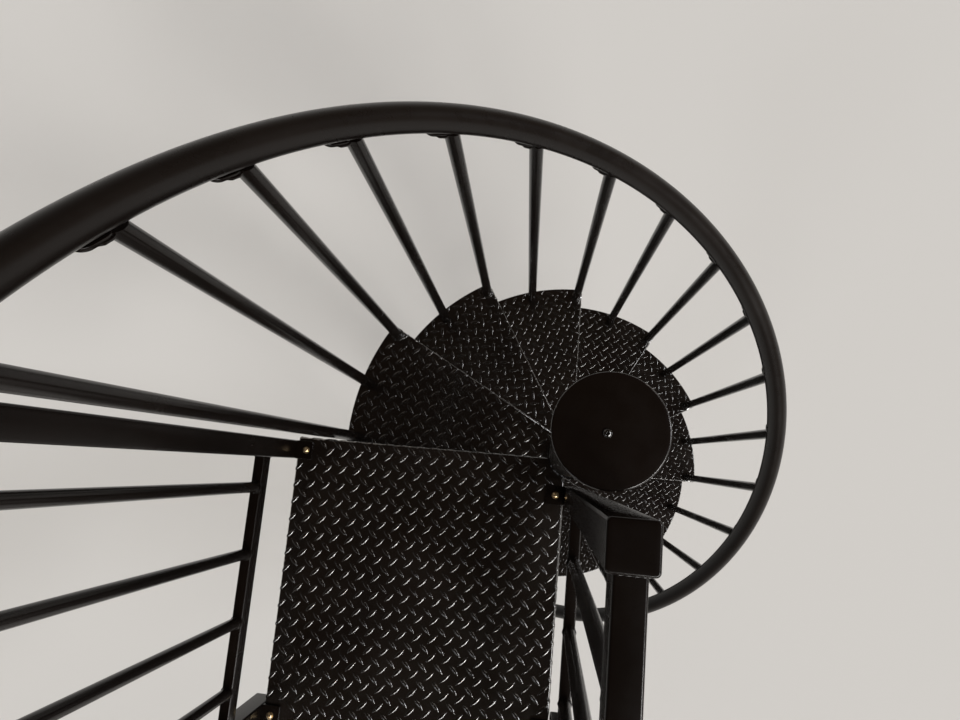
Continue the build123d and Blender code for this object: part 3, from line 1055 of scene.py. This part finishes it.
@dataclass(frozen=True)
class Landing:
    """Square landing pan, its hub, its stiffeners and its raised pattern."""

    left: float = -568 * MM
    right: float = -11 * MM
    front: float = -10 * MM
    back: float = -575 * MM
    plate: float = 5 * MM
    lip: float = 5 * MM
    depth: float = 50 * MM
    fold: float = 3 * MM
    corner: float = 2 * MM
    weld: float = 2.6 * MM
    stiffeners: int = 2
    stiffener_thickness: float = 5 * MM
    stiffener_depth: float = 38 * MM
    stiffener_corner: float = 0.8 * MM
    fixing_spacing: float = 400 * MM
    fixing_radius: float = 6 * MM
    pattern: RaisedPattern = RaisedPattern(90.0, (-4.6 * MM, -2.6 * MM))
    pattern_reach: float = 1.2
    bare_round_bolt: float = 27 * MM
    # Wear along the front edge; its rise towards the left is a painted highlight that fades to the right.
    front_wear_and_highlight: float = 1.4
    wear_and_highlight_less_right: float = 1.1
    scuffed_elsewhere: float = 0.3

    @property
    def half(self) -> Array:
        """Half of the landing's width and depth."""
        return np.array([self.right - self.left, self.front - self.back]) / 2

    @property
    def middle(self) -> Array:
        """Middle of the landing's plan at its top."""
        return np.array([(self.left + self.right) / 2, (self.front + self.back) / 2, LAYOUT.landing_top])

    def pan(self) -> Surface:
        """Shape the pan about the landing's middle.

        Returns:
            The pan, worn along its front edge, with a painted highlight there that is brightest at the left
            and fades towards the right.
        """
        outline = rectangle(*(2 * self.half), self.corner, 4)
        shape = moulded(outline, pan_profile(self.plate, self.lip, self.depth, self.fold))
        front = shape.points[:, 1] > self.half[1] - 2 * self.fold
        # Bare steel along the front edge is partly wear and partly a painted highlight, growing towards the
        # left.
        share = self.front_wear_and_highlight - self.wear_and_highlight_less_right * shape.points[:, 0] / self.half[0]
        return shape.rubbed(np.where(front, share, self.scuffed_elsewhere))

    def lugs(self, bolts: Sequence[tuple[float, float]]) -> Surface:
        """Shape the raised pattern round the left, right and front folds.

        Args:
            bolts: Plan points of the guard's bolts, which are kept bare.

        Returns:
            The lugs about the landing's middle.
        """
        x, y = self.half
        edges = [Edge((0.0, 1.0), y, self.depth, self.fold), Edge((-1.0, 0.0), x, self.depth, self.fold)]
        edges += [Edge((1.0, 0.0), x, self.depth, self.fold), Edge((0.0, -1.0), y, 0.0, self.fold)]
        bare = [(0.0, 0.0, LAYOUT.hub_radius + BARE_ROUND_HUB)]
        bare += [(px, py, self.bare_round_bolt) for px, py in bolts]
        clear = [(px - self.middle[0], py - self.middle[1], r) for px, py, r in bare]
        return patterned(self.pattern, edges, x * self.pattern_reach, math.inf, clear)

    def braces(self) -> Surface:
        """Shape the flat bars under the plate.

        Returns:
            The bars in their places.
        """
        width = self.right - self.left - 2 * self.lip
        outline = rectangle(width, self.stiffener_thickness, self.stiffener_corner, 2)
        flat = bar(outline, self.stiffener_depth)
        spacing = (self.front - self.back) / (self.stiffeners + 1)
        bottom = LAYOUT.landing_top - self.plate - self.stiffener_depth
        rows = [self.front - spacing * (i + 1) for i in range(self.stiffeners)]
        return joined(flat.moved(self.middle[0], y, bottom) for y in rows)

    def drilled(self, body: bpy.types.Object) -> None:
        """Drill the fixing holes through the back lip.

        Args:
            body: The pan, which gets the drilled mesh.
        """
        drill = bar(polygon(self.fixing_radius, 32), 6 * self.lip)
        start, height = self.back - 3 * self.lip, LAYOUT.landing_top - self.depth / 2
        axes = axes_along(np.array([0, 1.0, 0]))
        places = [(self.middle[0] + side * self.fixing_spacing / 2, start, height) for side in (-1, 1)]
        tool = piece("landing_drill", joined(drill.placed(axes, place) for place in places), Finish.PLATE)
        cut = body.modifiers.new("fixing_holes", "BOOLEAN")
        cut.object, cut.operation, cut.solver = tool, "DIFFERENCE", "EXACT"
        bpy.context.view_layer.update()
        mesh = bpy.data.meshes.new_from_object(body.evaluated_get(bpy.context.evaluated_depsgraph_get()))
        body.modifiers.clear()
        body.data = mesh
        bpy.data.objects.remove(tool)

    def build(self, bolts: Sequence[tuple[float, float]]) -> list[bpy.types.Object]:
        """Make the landing.

        Args:
            bolts: Plan points of the guard's bolts.

        Returns:
            Its pieces.
        """
        lugs, node = self.lugs(bolts).moved(*self.middle), ("landing",)
        made = [
            piece("landing_pan", self.pan().moved(*self.middle), Finish.PLATE, node),
            piece("landing_pattern", lugs, Finish.PLATE, node, LUG_CREASE),
            piece("landing_braces", self.braces(), Finish.TUBE, ("landing_stiffeners",)),
        ]
        self.drilled(made[0])
        level = LAYOUT.landing_top
        top = level + LAYOUT.hub_above_tread
        welds = [hub_weld(self.weld, height) for height in (level, level - self.plate)]
        hub = joined([hub_sleeve(top - LAYOUT.rise, top), *welds])
        made.append(piece("landing_hub", hub, Finish.POLE, node))
        return made


# Pole

@dataclass(frozen=True)
class Pole:
    """Base plate, upper sleeve and the cap that clamps the stack."""

    base_radius: float = 140 * MM
    base_foot: Profile = ((MM, 0, 0.1), (0, MM, 0.2))
    base_rim: Profile = ((0, -2 * MM, 0.1), (0.6 * MM, -0.6 * MM, 0.7), (2 * MM, 0, 0.4), (8 * MM, 0, 0))
    weld: float = 3 * MM
    bolts: int = 4
    bolt_circle: float = 110 * MM
    bolt_bearing: float = 45.0
    bolt_turn: float = 17.0
    bolt_radius: float = 11 * MM
    bolt_head: Profile = ((0, 2.4 * MM, 0), (0, 9.5 * MM, 0.2), (1.2 * MM, 10.5 * MM, 0.3))
    washer: Profile = ((7.5 * MM, 0, 0), (14 * MM, 0, 0), (14 * MM, 2 * MM, 0.2), (7.5 * MM, 2.5 * MM, 0))
    cap_radius: float = 49 * MM
    cap_thickness: float = 5 * MM
    cap_foot: Profile = ((MM, 0, 0), (0, MM, 0))
    cap_flat: float = 4 * MM
    cap_edge: float = 1.5 * MM
    cap_wear: tuple[float, ...] = (0.0, 0.05, 0.1, 0.1, 0.05, 0.0)
    cap_sides: int = 128
    cap_screw: tuple[float, float, float] = (4 * MM, 2.6 * MM, 1.3 * MM)
    cap_screw_place: tuple[float, float] = (-2.6 * MM, -2.4 * MM)
    above_landing: float = 794 * MM

    @property
    def top(self) -> float:
        """Height of the cap's underside."""
        return LAYOUT.landing_top + self.above_landing

    def base(self) -> Surface:
        """Return the base plate, worn at its upper edge."""
        foot = from_edge(self.base_foot, self.base_radius, 0.0)
        return lathe(foot + from_edge(self.base_rim, self.base_radius, LAYOUT.base_thickness), HUB_SIDES)

    def cap(self) -> Surface:
        """Shape the cap disc.

        Returns:
            The disc, with its rim softened and slightly worn.
        """
        edge = zip(quarter(self.cap_edge, len(self.cap_wear) - 1), self.cap_wear)
        rim = [(inset, -drop, wear) for (inset, drop), wear in edge] + [(self.cap_flat, 0, 0)]
        rows = from_edge(self.cap_foot, self.cap_radius, self.top)
        rows += from_edge(rim, self.cap_radius, self.top + self.cap_thickness)
        return lathe(rows, self.cap_sides)

    def anchors(self) -> Surface:
        """Shape the washers and hexagon heads of the floor bolts.

        Returns:
            All of them in their places.
        """
        washer = lathe(self.washer, SCREW_SIDES, closed=True)
        head = moulded(polygon(self.bolt_radius, 6), self.bolt_head)
        made = []
        for i in range(self.bolts):
            place = polar(self.bolt_circle, self.bolt_bearing + i * 360 / self.bolts, LAYOUT.base_thickness)
            axes = upright_axes(self.bolt_bearing + self.bolt_turn * i)
            made += [surface.placed(axes, place) for surface in (washer, head)]
        return joined(made)

    def build(self) -> list[bpy.types.Object]:
        """Make what stands on the pole, and coat the pole.

        Returns:
            The new pieces.
        """
        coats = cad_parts["centre_pole"].data.materials
        coats.clear()
        coats.append(Finish.POLE.value.material())
        base = joined([self.base(), hub_weld(self.weld, LAYOUT.base_thickness)])
        sleeve = hub_sleeve(LAYOUT.landing_top + LAYOUT.hub_above_tread, self.top)
        screw = dome_head(*self.cap_screw).moved(*self.cap_screw_place, self.top + self.cap_thickness)
        return [
            piece("base_flange", base, Finish.POLE, ("base_plate",)),
            piece("base_anchors", self.anchors(), Finish.FASTENER),
            piece("pole_top_sleeve", sleeve, Finish.POLE, ("top_sleeve",)),
            piece("pole_cap_disc", self.cap(), Finish.POLE, ("pole_cap",), ROUND_CREASE),
            piece("pole_cap_screw", screw, Finish.COLLAR),
        ]


# Balusters and handrail

@dataclass(frozen=True)
class Baluster:
    """One round baluster with the fixing tab under the handrail."""

    bearing: float
    seat: float
    lean: float = LAYOUT.baluster_lean
    sides: int = 32
    sink: float = 0.4 * MM
    tab_width: float = 24 * MM
    tab_length: float = 42 * MM
    tab_thickness: float = 5 * MM
    tab_edge: float = 0.8 * MM
    tab_shift: float = 8.5 * MM
    weld: float = 1.7 * MM
    weld_reach: float = 0.4 * MM
    screw: tuple[float, float, float] = (4.2 * MM, 1.5 * MM, 1.6 * MM)
    screw_place: float = 18 * MM
    collar_radius: float = 15.5 * MM
    collar_height: float = 8 * MM
    collar_edge: float = 0.6 * MM
    collar_slope: float = 24.0
    collar_clearance: float = 0.2 * MM
    collar_sink: float = 0.3 * MM

    def rod(self) -> Surface:
        """Shape the round bar, let a little into its seat and ending inside the tab.

        The last ring is slid along the bar until each of its points lies in the tab's middle plane.

        Returns:
            The bar's skin.
        """
        foot, top = LAYOUT.baluster_ends(self.bearing, self.seat, self.lean)
        axes = axes_along(top - foot)
        plan = polygon(LAYOUT.baluster_radius, self.sides)(0.0)
        heights = np.linspace(-self.sink, np.linalg.norm(top - foot), 5)
        body = raised(np.stack([plan] * len(heights)), heights) @ axes + foot
        tab_axes, tab_origin = LAYOUT.tab_frame(self.bearing - self.lean)
        height = (body[-1] - tab_origin) @ tab_axes[2]
        body[-1] += ((-self.tab_thickness / 2 - height) / (axes[2] @ tab_axes[2]))[:, None] * axes[2]
        return skin(body)

    def tab(self) -> Surface:
        """Shape the round-ended tab with its weld and its screw.

        Returns:
            The tab in its place under the handrail.
        """
        axes, origin = LAYOUT.tab_frame(self.bearing - self.lean)
        profile = slab_profile(self.tab_thickness, self.tab_edge)
        plate = moulded(slot(self.tab_length, self.tab_width), profile)
        r = LAYOUT.baluster_radius
        weld = weld_ring(r / math.cos(LAYOUT.slope) + self.weld_reach, r + self.weld_reach, self.weld)
        downward = np.diag([1.0, -1.0, -1.0])
        screw = dome_head(*self.screw).placed(downward, (self.screw_place, 0, -self.tab_thickness))
        parts = [plate.moved(self.tab_shift, 0, 0), weld.moved(0, 0, -self.tab_thickness), screw]
        return joined(parts).placed(axes, origin)

    def collar(self, height: float) -> Surface:
        """Shape the round collar where the baluster passes a tread.

        Its top is a cone that falls outward from the bore b: z = h - (r - b) tan s for a height h and
        a slope s. A round of radius e joins the cone to the straight side.

        Args:
            height: The tread's top.

        Returns:
            The collar in its place.
        """
        foot, top = LAYOUT.baluster_ends(self.bearing, self.seat, self.lean)
        centre = foot + (top - foot) * (height - foot[2]) / (top[2] - foot[2])
        bore, edge = LAYOUT.baluster_radius + self.collar_clearance, self.collar_edge
        slope = math.radians(self.collar_slope)
        turn = np.linspace(0, math.pi / 2 - slope, 5)
        reach, rise = self.collar_radius - edge * (1 - np.cos(turn)), edge * np.sin(turn)
        side = self.collar_height - (reach[-1] - bore) * math.tan(slope) - rise[-1]
        rim = [(r, side + z, 0.0) for r, z in zip(reach, rise)]
        near = reach[-1] - edge / 2
        rim += [(near, self.collar_height - (near - bore) * math.tan(slope), 0.0)]
        rim += [(bore, self.collar_height, 0.0)]
        rows = [(bore, -self.collar_sink, 0.0), (self.collar_radius, -self.collar_sink, 0.0), *rim]
        return lathe(rows, closed=True).placed(axes_along(top - foot), centre)


@dataclass(frozen=True)
class Balusters:
    """All the balusters, a pair to each tread and one on the floor."""

    flange_radius: float = 30 * MM
    flange_foot: Profile = ((MM, 0, 0), (0, MM, 0.1))
    flange_rim: Profile = ((0, -1.5 * MM, 0.2), (1.5 * MM, 0, 0.4), (6 * MM, 0, 0))
    flange_weld: float = 1.8 * MM

    def flange(self, bearing: float) -> Surface:
        """Shape the floor flange of the first baluster.

        Args:
            bearing: The baluster's bearing.

        Returns:
            The flange with its weld.
        """
        rows = from_edge(self.flange_foot, self.flange_radius, 0.0)
        rows += from_edge(self.flange_rim, self.flange_radius, LAYOUT.foot_flange)
        reach = LAYOUT.baluster_radius + Baluster.weld_reach
        weld = weld_ring(reach, reach, self.flange_weld).moved(0, 0, LAYOUT.foot_flange)
        return joined([lathe(rows), weld]).moved(*polar(LAYOUT.baluster_circle, bearing))

    def pair(self, number: int) -> list[Baluster]:
        """Lay out a tread's balusters.

        Args:
            number: The tread's number.

        Returns:
            The middle baluster and the one on the rear corner.
        """
        seat = number * LAYOUT.rise
        lean = LAYOUT.landing_baluster_lean if number == LAYOUT.tread_count else LAYOUT.baluster_lean
        rear = Baluster(LAYOUT.tread_bearing(number + 1) + LAYOUT.nosing_offset, seat, lean)
        return [Baluster(LAYOUT.tread_bearing(number) + LAYOUT.mid_offset, seat), rear]

    def build(self) -> list[bpy.types.Object]:
        """Make the balusters, their collars and the first one's floor flange.

        Returns:
            Their pieces.
        """
        first = Baluster(LAYOUT.tread_bearing(1) + LAYOUT.nosing_offset, LAYOUT.foot_flange)
        standing = joined([first.rod(), first.tab(), self.flange(first.bearing)])
        made = [piece("first_baluster", standing, Finish.TUBE, ("starting_baluster",))]
        collars = [first.collar(LAYOUT.rise)]
        for number in range(1, LAYOUT.tread_count + 1):
            pair = self.pair(number)
            name, node = f"baluster_pair_{number:02d}", f"balusters_{number:02d}"
            body = joined(s for b in pair for s in (b.rod(), b.tab()))
            made.append(piece(name, body, Finish.TUBE, (node,)))
            if number < LAYOUT.tread_count:
                collars.append(pair[1].collar((number + 1) * LAYOUT.rise))
        made.append(piece("tread_collars", joined(collars), Finish.COLLAR, ("baluster_collars",)))
        return made


@dataclass(frozen=True)
class Handrail:
    """Round tube on a helix, closed at both ends by domed discs."""

    cap_thickness: float = 4 * MM
    dome_turn: float = 0.46 * math.pi
    dome_steps: int = 6
    dome_power: float = 0.5
    steps: int = 420
    around: int = 40

    def tube(self) -> Surface:
        """Shape the tube with its closed ends.

        The centreline is (R cos b, R sin b, height(b)). The section square to it has the radial
        direction u and n = tangent x u, with points centre + r (cos a u + sin a n). Past each end the
        section shrinks as r cos t to a power, while it moves on by the cap's thickness times sin t.

        Returns:
            The tube's skin.
        """
        low = LAYOUT.tread_bearing(1) + LAYOUT.nosing_offset - LAYOUT.rail_overrun
        high = LAYOUT.landing_bearing + LAYOUT.nosing_offset + LAYOUT.rail_overrun
        dome = np.linspace(0, self.dome_turn, self.dome_steps + 1)[1:]
        b = np.pad(np.linspace(low, high, self.steps), self.dome_steps, "edge")
        past = np.sin(dome) * self.cap_thickness
        shift = np.concatenate([-past[::-1], np.zeros(self.steps), past])
        closing = np.cos(dome) ** self.dome_power
        radius = np.concatenate([closing[::-1], np.ones(self.steps), closing]) * LAYOUT.rail_radius
        up = np.array([0, 0, 1.0])
        radial = np.column_stack([on_circle(np.radians(b)), np.zeros(len(b))])
        tangent = np.cross(up, radial) * math.cos(LAYOUT.slope) + up * math.sin(LAYOUT.slope)
        centre = radial * LAYOUT.rail_circle + LAYOUT.rail_height(b)[:, None] * up + tangent * shift[:, None]
        t = turns(self.around)[:, None]
        section = np.cos(t) * radial[:, None] + np.sin(t) * np.cross(tangent, radial)[:, None]
        return skin(centre[:, None] + section * radius[:, None, None])

    def build(self) -> list[bpy.types.Object]:
        """Make the handrail."""
        nodes = ("handrail", "handrail_ends")
        return [piece("handrail_tube", self.tube(), Finish.RAIL, nodes, ROUND_CREASE)]


# Guard

def resampled(outline: Array, count: int) -> Array:
    """Space points evenly round a closed outline.

    Args:
        outline: The outline's corners.
        count: How many points are wanted.

    Returns:
        The points, of shape (count, 2).
    """
    closed = np.concatenate([outline, outline[:1]])
    run = np.concatenate([[0], np.cumsum(np.linalg.norm(np.diff(closed, axis=0), axis=1))])
    at = np.linspace(0, run[-1], count, endpoint=False)
    return np.stack([np.interp(at, run, closed[:, k]) for k in (0, 1)], -1)


@dataclass(frozen=True)
class Guard:
    """The landing's guard: four posts and two panels."""

    landing: Landing
    height: float = 885 * MM
    post: float = 38 * MM
    corner: float = 4 * MM
    gap: float = 3 * MM
    cap: float = 3 * MM
    cap_edge: float = 2.2 * MM
    cap_flat: float = 5 * MM
    post_foot: Profile = ((0.6 * MM, 0, 0.1), (0, 0.6 * MM, 0.1), (0, 3 * MM, 0))
    post_seam: Profile = (
        (0, -1.2 * MM, 0), (0.35 * MM, -0.4 * MM, 0), (0.35 * MM, 0, 0), (0, 0.5 * MM, 0)
    )
    left_setback: float = 26 * MM
    right_setback: float = 72 * MM
    left_back_setback: float = 19 * MM
    right_back_setback: float = 55 * MM
    tab_length: float = 36 * MM
    tab_thickness: float = 5 * MM
    tab_corner: float = 2 * MM
    tab_edge: float = 0.8 * MM
    bolt_inset: float = 18 * MM
    left_front_bolt_inset: float = 23 * MM
    bolt_head: tuple[float, float, float] = (5.6 * MM, 4.2 * MM, 1.5 * MM)
    bolt_flange: Profile = (
        (4 * MM, 0, 0), (7.2 * MM, 0, 0), (7.2 * MM, 0.9 * MM, 0.1), (4 * MM, 1.2 * MM, 0)
    )
    bolt_rise: float = 0.8 * MM
    top_rail: tuple[float, float] = (25 * MM, 38 * MM)
    bottom_rail: tuple[float, float] = (20 * MM, 30 * MM)
    rail_corner: float = 2.5 * MM
    rail_edge: float = 0.2 * MM
    rail_weld: float = 1.5 * MM
    rail_weld_reach: float = 0.3 * MM
    rail_weld_points: int = 72
    rail_weld_ripples: int = 22
    top_drop: float = 9 * MM
    bottom_top: float = 134 * MM
    picket_radius: float = 10 * MM
    picket_sides: int = 28
    picket_sink: float = 0.3 * MM
    picket_edge: float = 0.1 * MM
    picket_weld: float = 2.0 * MM
    picket_weld_turn: float = 40.0
    left_pickets: tuple[int, float, float] = (4, 122 * MM, 0.0)
    right_pickets: tuple[int, float, float] = (3, 117 * MM, -8 * MM)

    def places(self) -> dict[str, tuple[float, float, int]]:
        """Lay out the posts.

        Returns:
            Each post's x, y and the direction of the landing from it.
        """
        left = self.landing.left - self.gap - self.post / 2
        right = self.landing.right + self.gap + self.post / 2
        return {
            "left_front_post": (left, self.landing.front - self.left_setback, 1),
            "left_back_post": (left, self.landing.back + self.left_back_setback, 1),
            "right_front_post": (right, self.landing.front - self.right_setback, -1),
            "right_back_post": (right, self.landing.back + self.right_back_setback, -1),
        }

    def bolts(self) -> list[tuple[float, float]]:
        """Lay out the foot bolts; the left front one was drilled further in.

        Returns:
            Their plan points.
        """
        insets = {"left_front_post": self.left_front_bolt_inset}
        made = []
        for name, (x, y, side) in self.places().items():
            made.append((x + side * (self.post / 2 + insets.get(name, self.bolt_inset)), y))
        return made

    def upright(self, x: float, y: float, side: int) -> Surface:
        """Shape one post with its closing cap and its foot tab.

        Args:
            x: The post's place along x.
            y: The post's place along y.
            side: The direction of the landing, 1 or -1 along x.

        Returns:
            The post in its place.
        """
        top, bottom = LAYOUT.landing_top + self.height, LAYOUT.landing_top - self.landing.depth
        shaft = [(inset, bottom + z, wear) for inset, z, wear in self.post_foot]
        shaft += [(inset, top - self.cap + z, wear) for inset, z, wear in self.post_seam]
        shaft += [(inset, top - drop, 0.0) for inset, drop in quarter(self.cap_edge, 5)]
        shaft += [(self.cap_flat, top, 0.0)]
        post = moulded(rectangle(self.post, self.post, self.corner, 6), shaft).moved(x, y, 0)
        plan = rectangle(self.tab_length, self.post, self.tab_corner, 3)
        foot = moulded(plan, slab_profile(self.tab_thickness, self.tab_edge))
        reach, level = (self.post + self.tab_length) / 2, LAYOUT.landing_top + self.tab_thickness
        return joined([post, foot.moved(x + side * reach, y, level)])

    def fixings(self) -> Surface:
        """Shape the dome bolts of the post feet.

        Returns:
            All of them in their places.
        """
        flange = lathe(self.bolt_flange, SCREW_SIDES, closed=True)
        bolt = [flange, dome_head(*self.bolt_head).moved(0, 0, self.bolt_rise)]
        level = LAYOUT.landing_top + self.tab_thickness
        return joined(surface.moved(x, y, level) for x, y in self.bolts() for surface in bolt)

    def rail(self, length: float, size: tuple[float, float]) -> Surface:
        """Return one rectangular rail with rounded corners, from the origin along -Y."""
        outline = rectangle(*size, self.rail_corner, 5)
        return bar(outline, length, self.rail_edge).placed(RAIL_AXES, (0, 0, 0))

    def rail_joint(self, size: tuple[float, float]) -> Surface:
        """Shape the weld where a rail meets a post.

        Args:
            size: The rail's width and height.

        Returns:
            The weld in the plane y = 0.
        """
        gap = self.rail_weld_reach
        outline = rectangle(size[0] + 2 * gap, size[1] + 2 * gap, self.rail_corner + gap, 6)
        path = resampled(outline(0.0), self.rail_weld_points)
        weld = bead(np.column_stack([path, np.zeros(len(path))]), self.rail_weld, self.rail_weld_ripples)
        return weld.placed(RAIL_AXES, (0, 0, 0))

    def panel(self, side: str, row: tuple[int, float, float]) -> Surface:
        """Shape two rails and their pickets, with a weld at each joint.

        Args:
            side: The side of the landing, left or right.
            row: How many pickets stand between the posts, their spacing and how far the row is shifted.

        Returns:
            The panel in its place.
        """
        x, front, _ = self.places()[f"{side}_front_post"]
        front, back = front - self.post / 2, self.places()[f"{side}_back_post"][1] + self.post / 2
        top = LAYOUT.landing_top + self.height - self.top_drop
        low, high = LAYOUT.landing_top + self.bottom_top, top - self.top_rail[1]
        sizes = ((self.top_rail, top), (self.bottom_rail, low))
        rails = [(size, height - size[1] / 2) for size, height in sizes]
        made = [self.rail(front - back, size).moved(x, front, middle) for size, middle in rails]
        plan = polygon(self.picket_radius, self.picket_sides)
        rod = bar(plan, high - low + 2 * self.picket_sink, self.picket_edge)
        reach = self.picket_radius + WELD_REACH
        weld = weld_ring(reach, reach, self.picket_weld)
        count, spacing, shift = row
        for i in range(count):
            y = (front + back) / 2 + shift + (i - (count - 1) / 2) * spacing
            made.append(rod.moved(x, y, low - self.picket_sink))
            made += [weld.placed(upright_axes(self.picket_weld_turn * i), (x, y, z)) for z in (low, high)]
        made += [self.rail_joint(size).moved(x, y, middle) for size, middle in rails for y in (front, back)]
        return joined(made)

    def build(self) -> list[bpy.types.Object]:
        """Make the guard.

        Returns:
            Its pieces.
        """
        made = []
        for name, (x, y, side) in self.places().items():
            post = self.upright(x, y, side)
            made.append(piece(name.replace("post", "upright"), post, Finish.TUBE, (name,)))
        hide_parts("post_caps")
        for side, row in (("left", self.left_pickets), ("right", self.right_pickets)):
            node = f"{side}_guard_panel"
            made.append(piece(f"{side}_panel", self.panel(side, row), Finish.TUBE, (node,)))
        made.append(piece("guard_foot_bolts", self.fixings(), Finish.FASTENER))
        return made


# Studio

@dataclass(frozen=True)
class Lamp:
    """One far lamp: its bearing and height in degrees, how wide it looks, its strength and its tint."""

    name: str
    bearing: float
    height: float
    spread: float
    strength: float
    tint: Colour


@dataclass(frozen=True)
class Studio:
    """Pale floor, soft lamps and the camera at the photograph's angle."""

    camera_place: tuple[float, float, float] = (-0.0522, -0.0378, 3.970)
    camera_turn: tuple[float, float, float] = (0.1696, 0.0959, 0.0867)
    focal_px: float = 652.6
    width_px: float = 960.0
    sensor_mm: float = 36.0
    floor_colour: Colour = (0.62, 0.61, 0.59)
    floor_reach: float = 30.0
    floor_roughness: float = 0.85
    backdrop_colour: Colour = (0.66, 0.64, 0.60)
    left_wall: Colour = (0.55, 0.53, 0.51)
    right_wall: Colour = (0.20, 0.155, 0.115)
    wall_turn: tuple[float, float] = (-0.8, 0.6)
    ceiling_colour: Colour = (0.030, 0.020, 0.014)
    ceiling_start: float = 0.42
    lamp_reach: float = 8.0
    lamps: tuple[Lamp, ...] = (
        Lamp("key_lamp_far_right", 120.0, 36.0, 14.0, 0.7, (1.0, 0.98, 0.95)),
        Lamp("key_lamp_right", 142.0, 36.0, 14.0, 1.45, (1.0, 0.98, 0.95)),
        Lamp("key_lamp_middle", 164.0, 36.0, 14.0, 1.5, (1.0, 0.98, 0.96)),
        Lamp("key_lamp_left", 186.0, 36.0, 14.0, 1.1, (0.98, 0.98, 1.0)),
        Lamp("left_lamp", 208.0, 36.0, 14.0, 0.2, (1.0, 0.95, 0.88)),
        Lamp("side_lamp", 45.0, 40.0, 10.0, 0.15, (0.95, 0.97, 1.0)),
        Lamp("warm_lamp", -25.0, 25.0, 30.0, 0.07, (1.0, 0.84, 0.68)),
    )

    def floor(self) -> None:
        """Lay the plain pale floor at level 0."""
        r = self.floor_reach
        mesh = bpy.data.meshes.new("studio_floor")
        mesh.from_pydata([(-r, -r, 0), (r, -r, 0), (r, r, 0), (-r, r, 0)], [], [(0, 1, 2, 3)])
        made = bpy.data.objects.new("studio_floor", mesh)
        bpy.context.scene.collection.objects.link(made)
        material = bpy.data.materials.new("studio_floor_paint")
        material.use_nodes = True
        shader = material.node_tree.nodes["Principled BSDF"]
        shader.inputs["Base Color"].default_value = colour(self.floor_colour)
        shader.inputs["Roughness"].default_value = self.floor_roughness
        mesh.materials.append(material)

    def lamp(self, lamp: Lamp) -> None:
        """Hang one broad, even lamp.

        Args:
            lamp: Where it hangs and how it shines.
        """
        light = bpy.data.lights.new(lamp.name, "SUN")
        light.energy, light.angle, light.color = lamp.strength, math.radians(lamp.spread), lamp.tint
        made = bpy.data.objects.new(lamp.name, light)
        bpy.context.scene.collection.objects.link(made)
        level = math.cos(math.radians(lamp.height))
        towards = polar(level, lamp.bearing, math.sin(math.radians(lamp.height)))
        axes = axes_along(towards)
        made.matrix_world = [[*axes[:, i], towards[i] * self.lamp_reach] for i in range(3)] + [[0, 0, 0, 1]]

    def world(self) -> None:
        """Set the studio's walls and ceiling.

        Light and reflections see a pale wall on the left and a darker, warmer one on the right, by
        their direction's x, both darkening towards the ceiling, by its z. The camera sees a plain
        pale backdrop.
        """
        world = bpy.data.worlds.new("studio_sky")
        bpy.context.scene.world = world
        world.use_nodes = True
        world.node_tree.nodes.clear()
        g = Graph(world.node_tree)
        towards = g.add("SeparateXYZ", {0: g.add("TexCoord").outputs["Generated"]}).outputs
        rightward = g.spread(towards["X"], *self.wall_turn, 0.0, 1.0)
        walls = g.mix(rightward, colour(self.left_wall), colour(self.right_wall))
        raised = g.spread(towards["Z"], 0.0, self.ceiling_start, 0.0, 1.0)
        room = g.mix(raised, walls, colour(self.ceiling_colour))
        seen = g.add("LightPath").outputs["Is Camera Ray"]
        shown = g.mix(seen, room, colour(self.backdrop_colour))
        g.add("OutputWorld", {"Surface": g.add("Background", {"Color": shown, "Strength": 1.0}).outputs[0]})

    def camera(self) -> None:
        """Place the camera."""
        data = bpy.data.cameras.new("photo_camera")
        data.sensor_width = self.sensor_mm
        data.sensor_fit = "HORIZONTAL"
        data.lens = self.focal_px / self.width_px * self.sensor_mm
        data.clip_start = 0.01
        made = bpy.data.objects.new("photo_camera", data)
        bpy.context.scene.collection.objects.link(made)
        made.location, made.rotation_euler = self.camera_place, self.camera_turn
        bpy.context.scene.camera = made

    def build(self) -> None:
        """Set up the studio."""
        self.floor()
        self.world()
        self.camera()
        for lamp in self.lamps:
            self.lamp(lamp)
        bpy.context.scene.view_settings.view_transform = "Standard"


def main() -> None:
    """Build the stair's sub-assemblies in order, then the studio."""
    logging.basicConfig(level=logging.INFO, format="%(name)s: %(message)s")
    landing = Landing()
    guard = Guard(landing)
    made = Pole().build()
    for number in range(1, LAYOUT.tread_count + 1):
        made += Tread(number).build()
    made += landing.build(guard.bolts())
    made += guard.build()
    made += Balusters().build()
    made += Handrail().build()
    LOG.info("%d pieces", len(made))
    Studio().build()


if __name__ == "__main__":
    main()
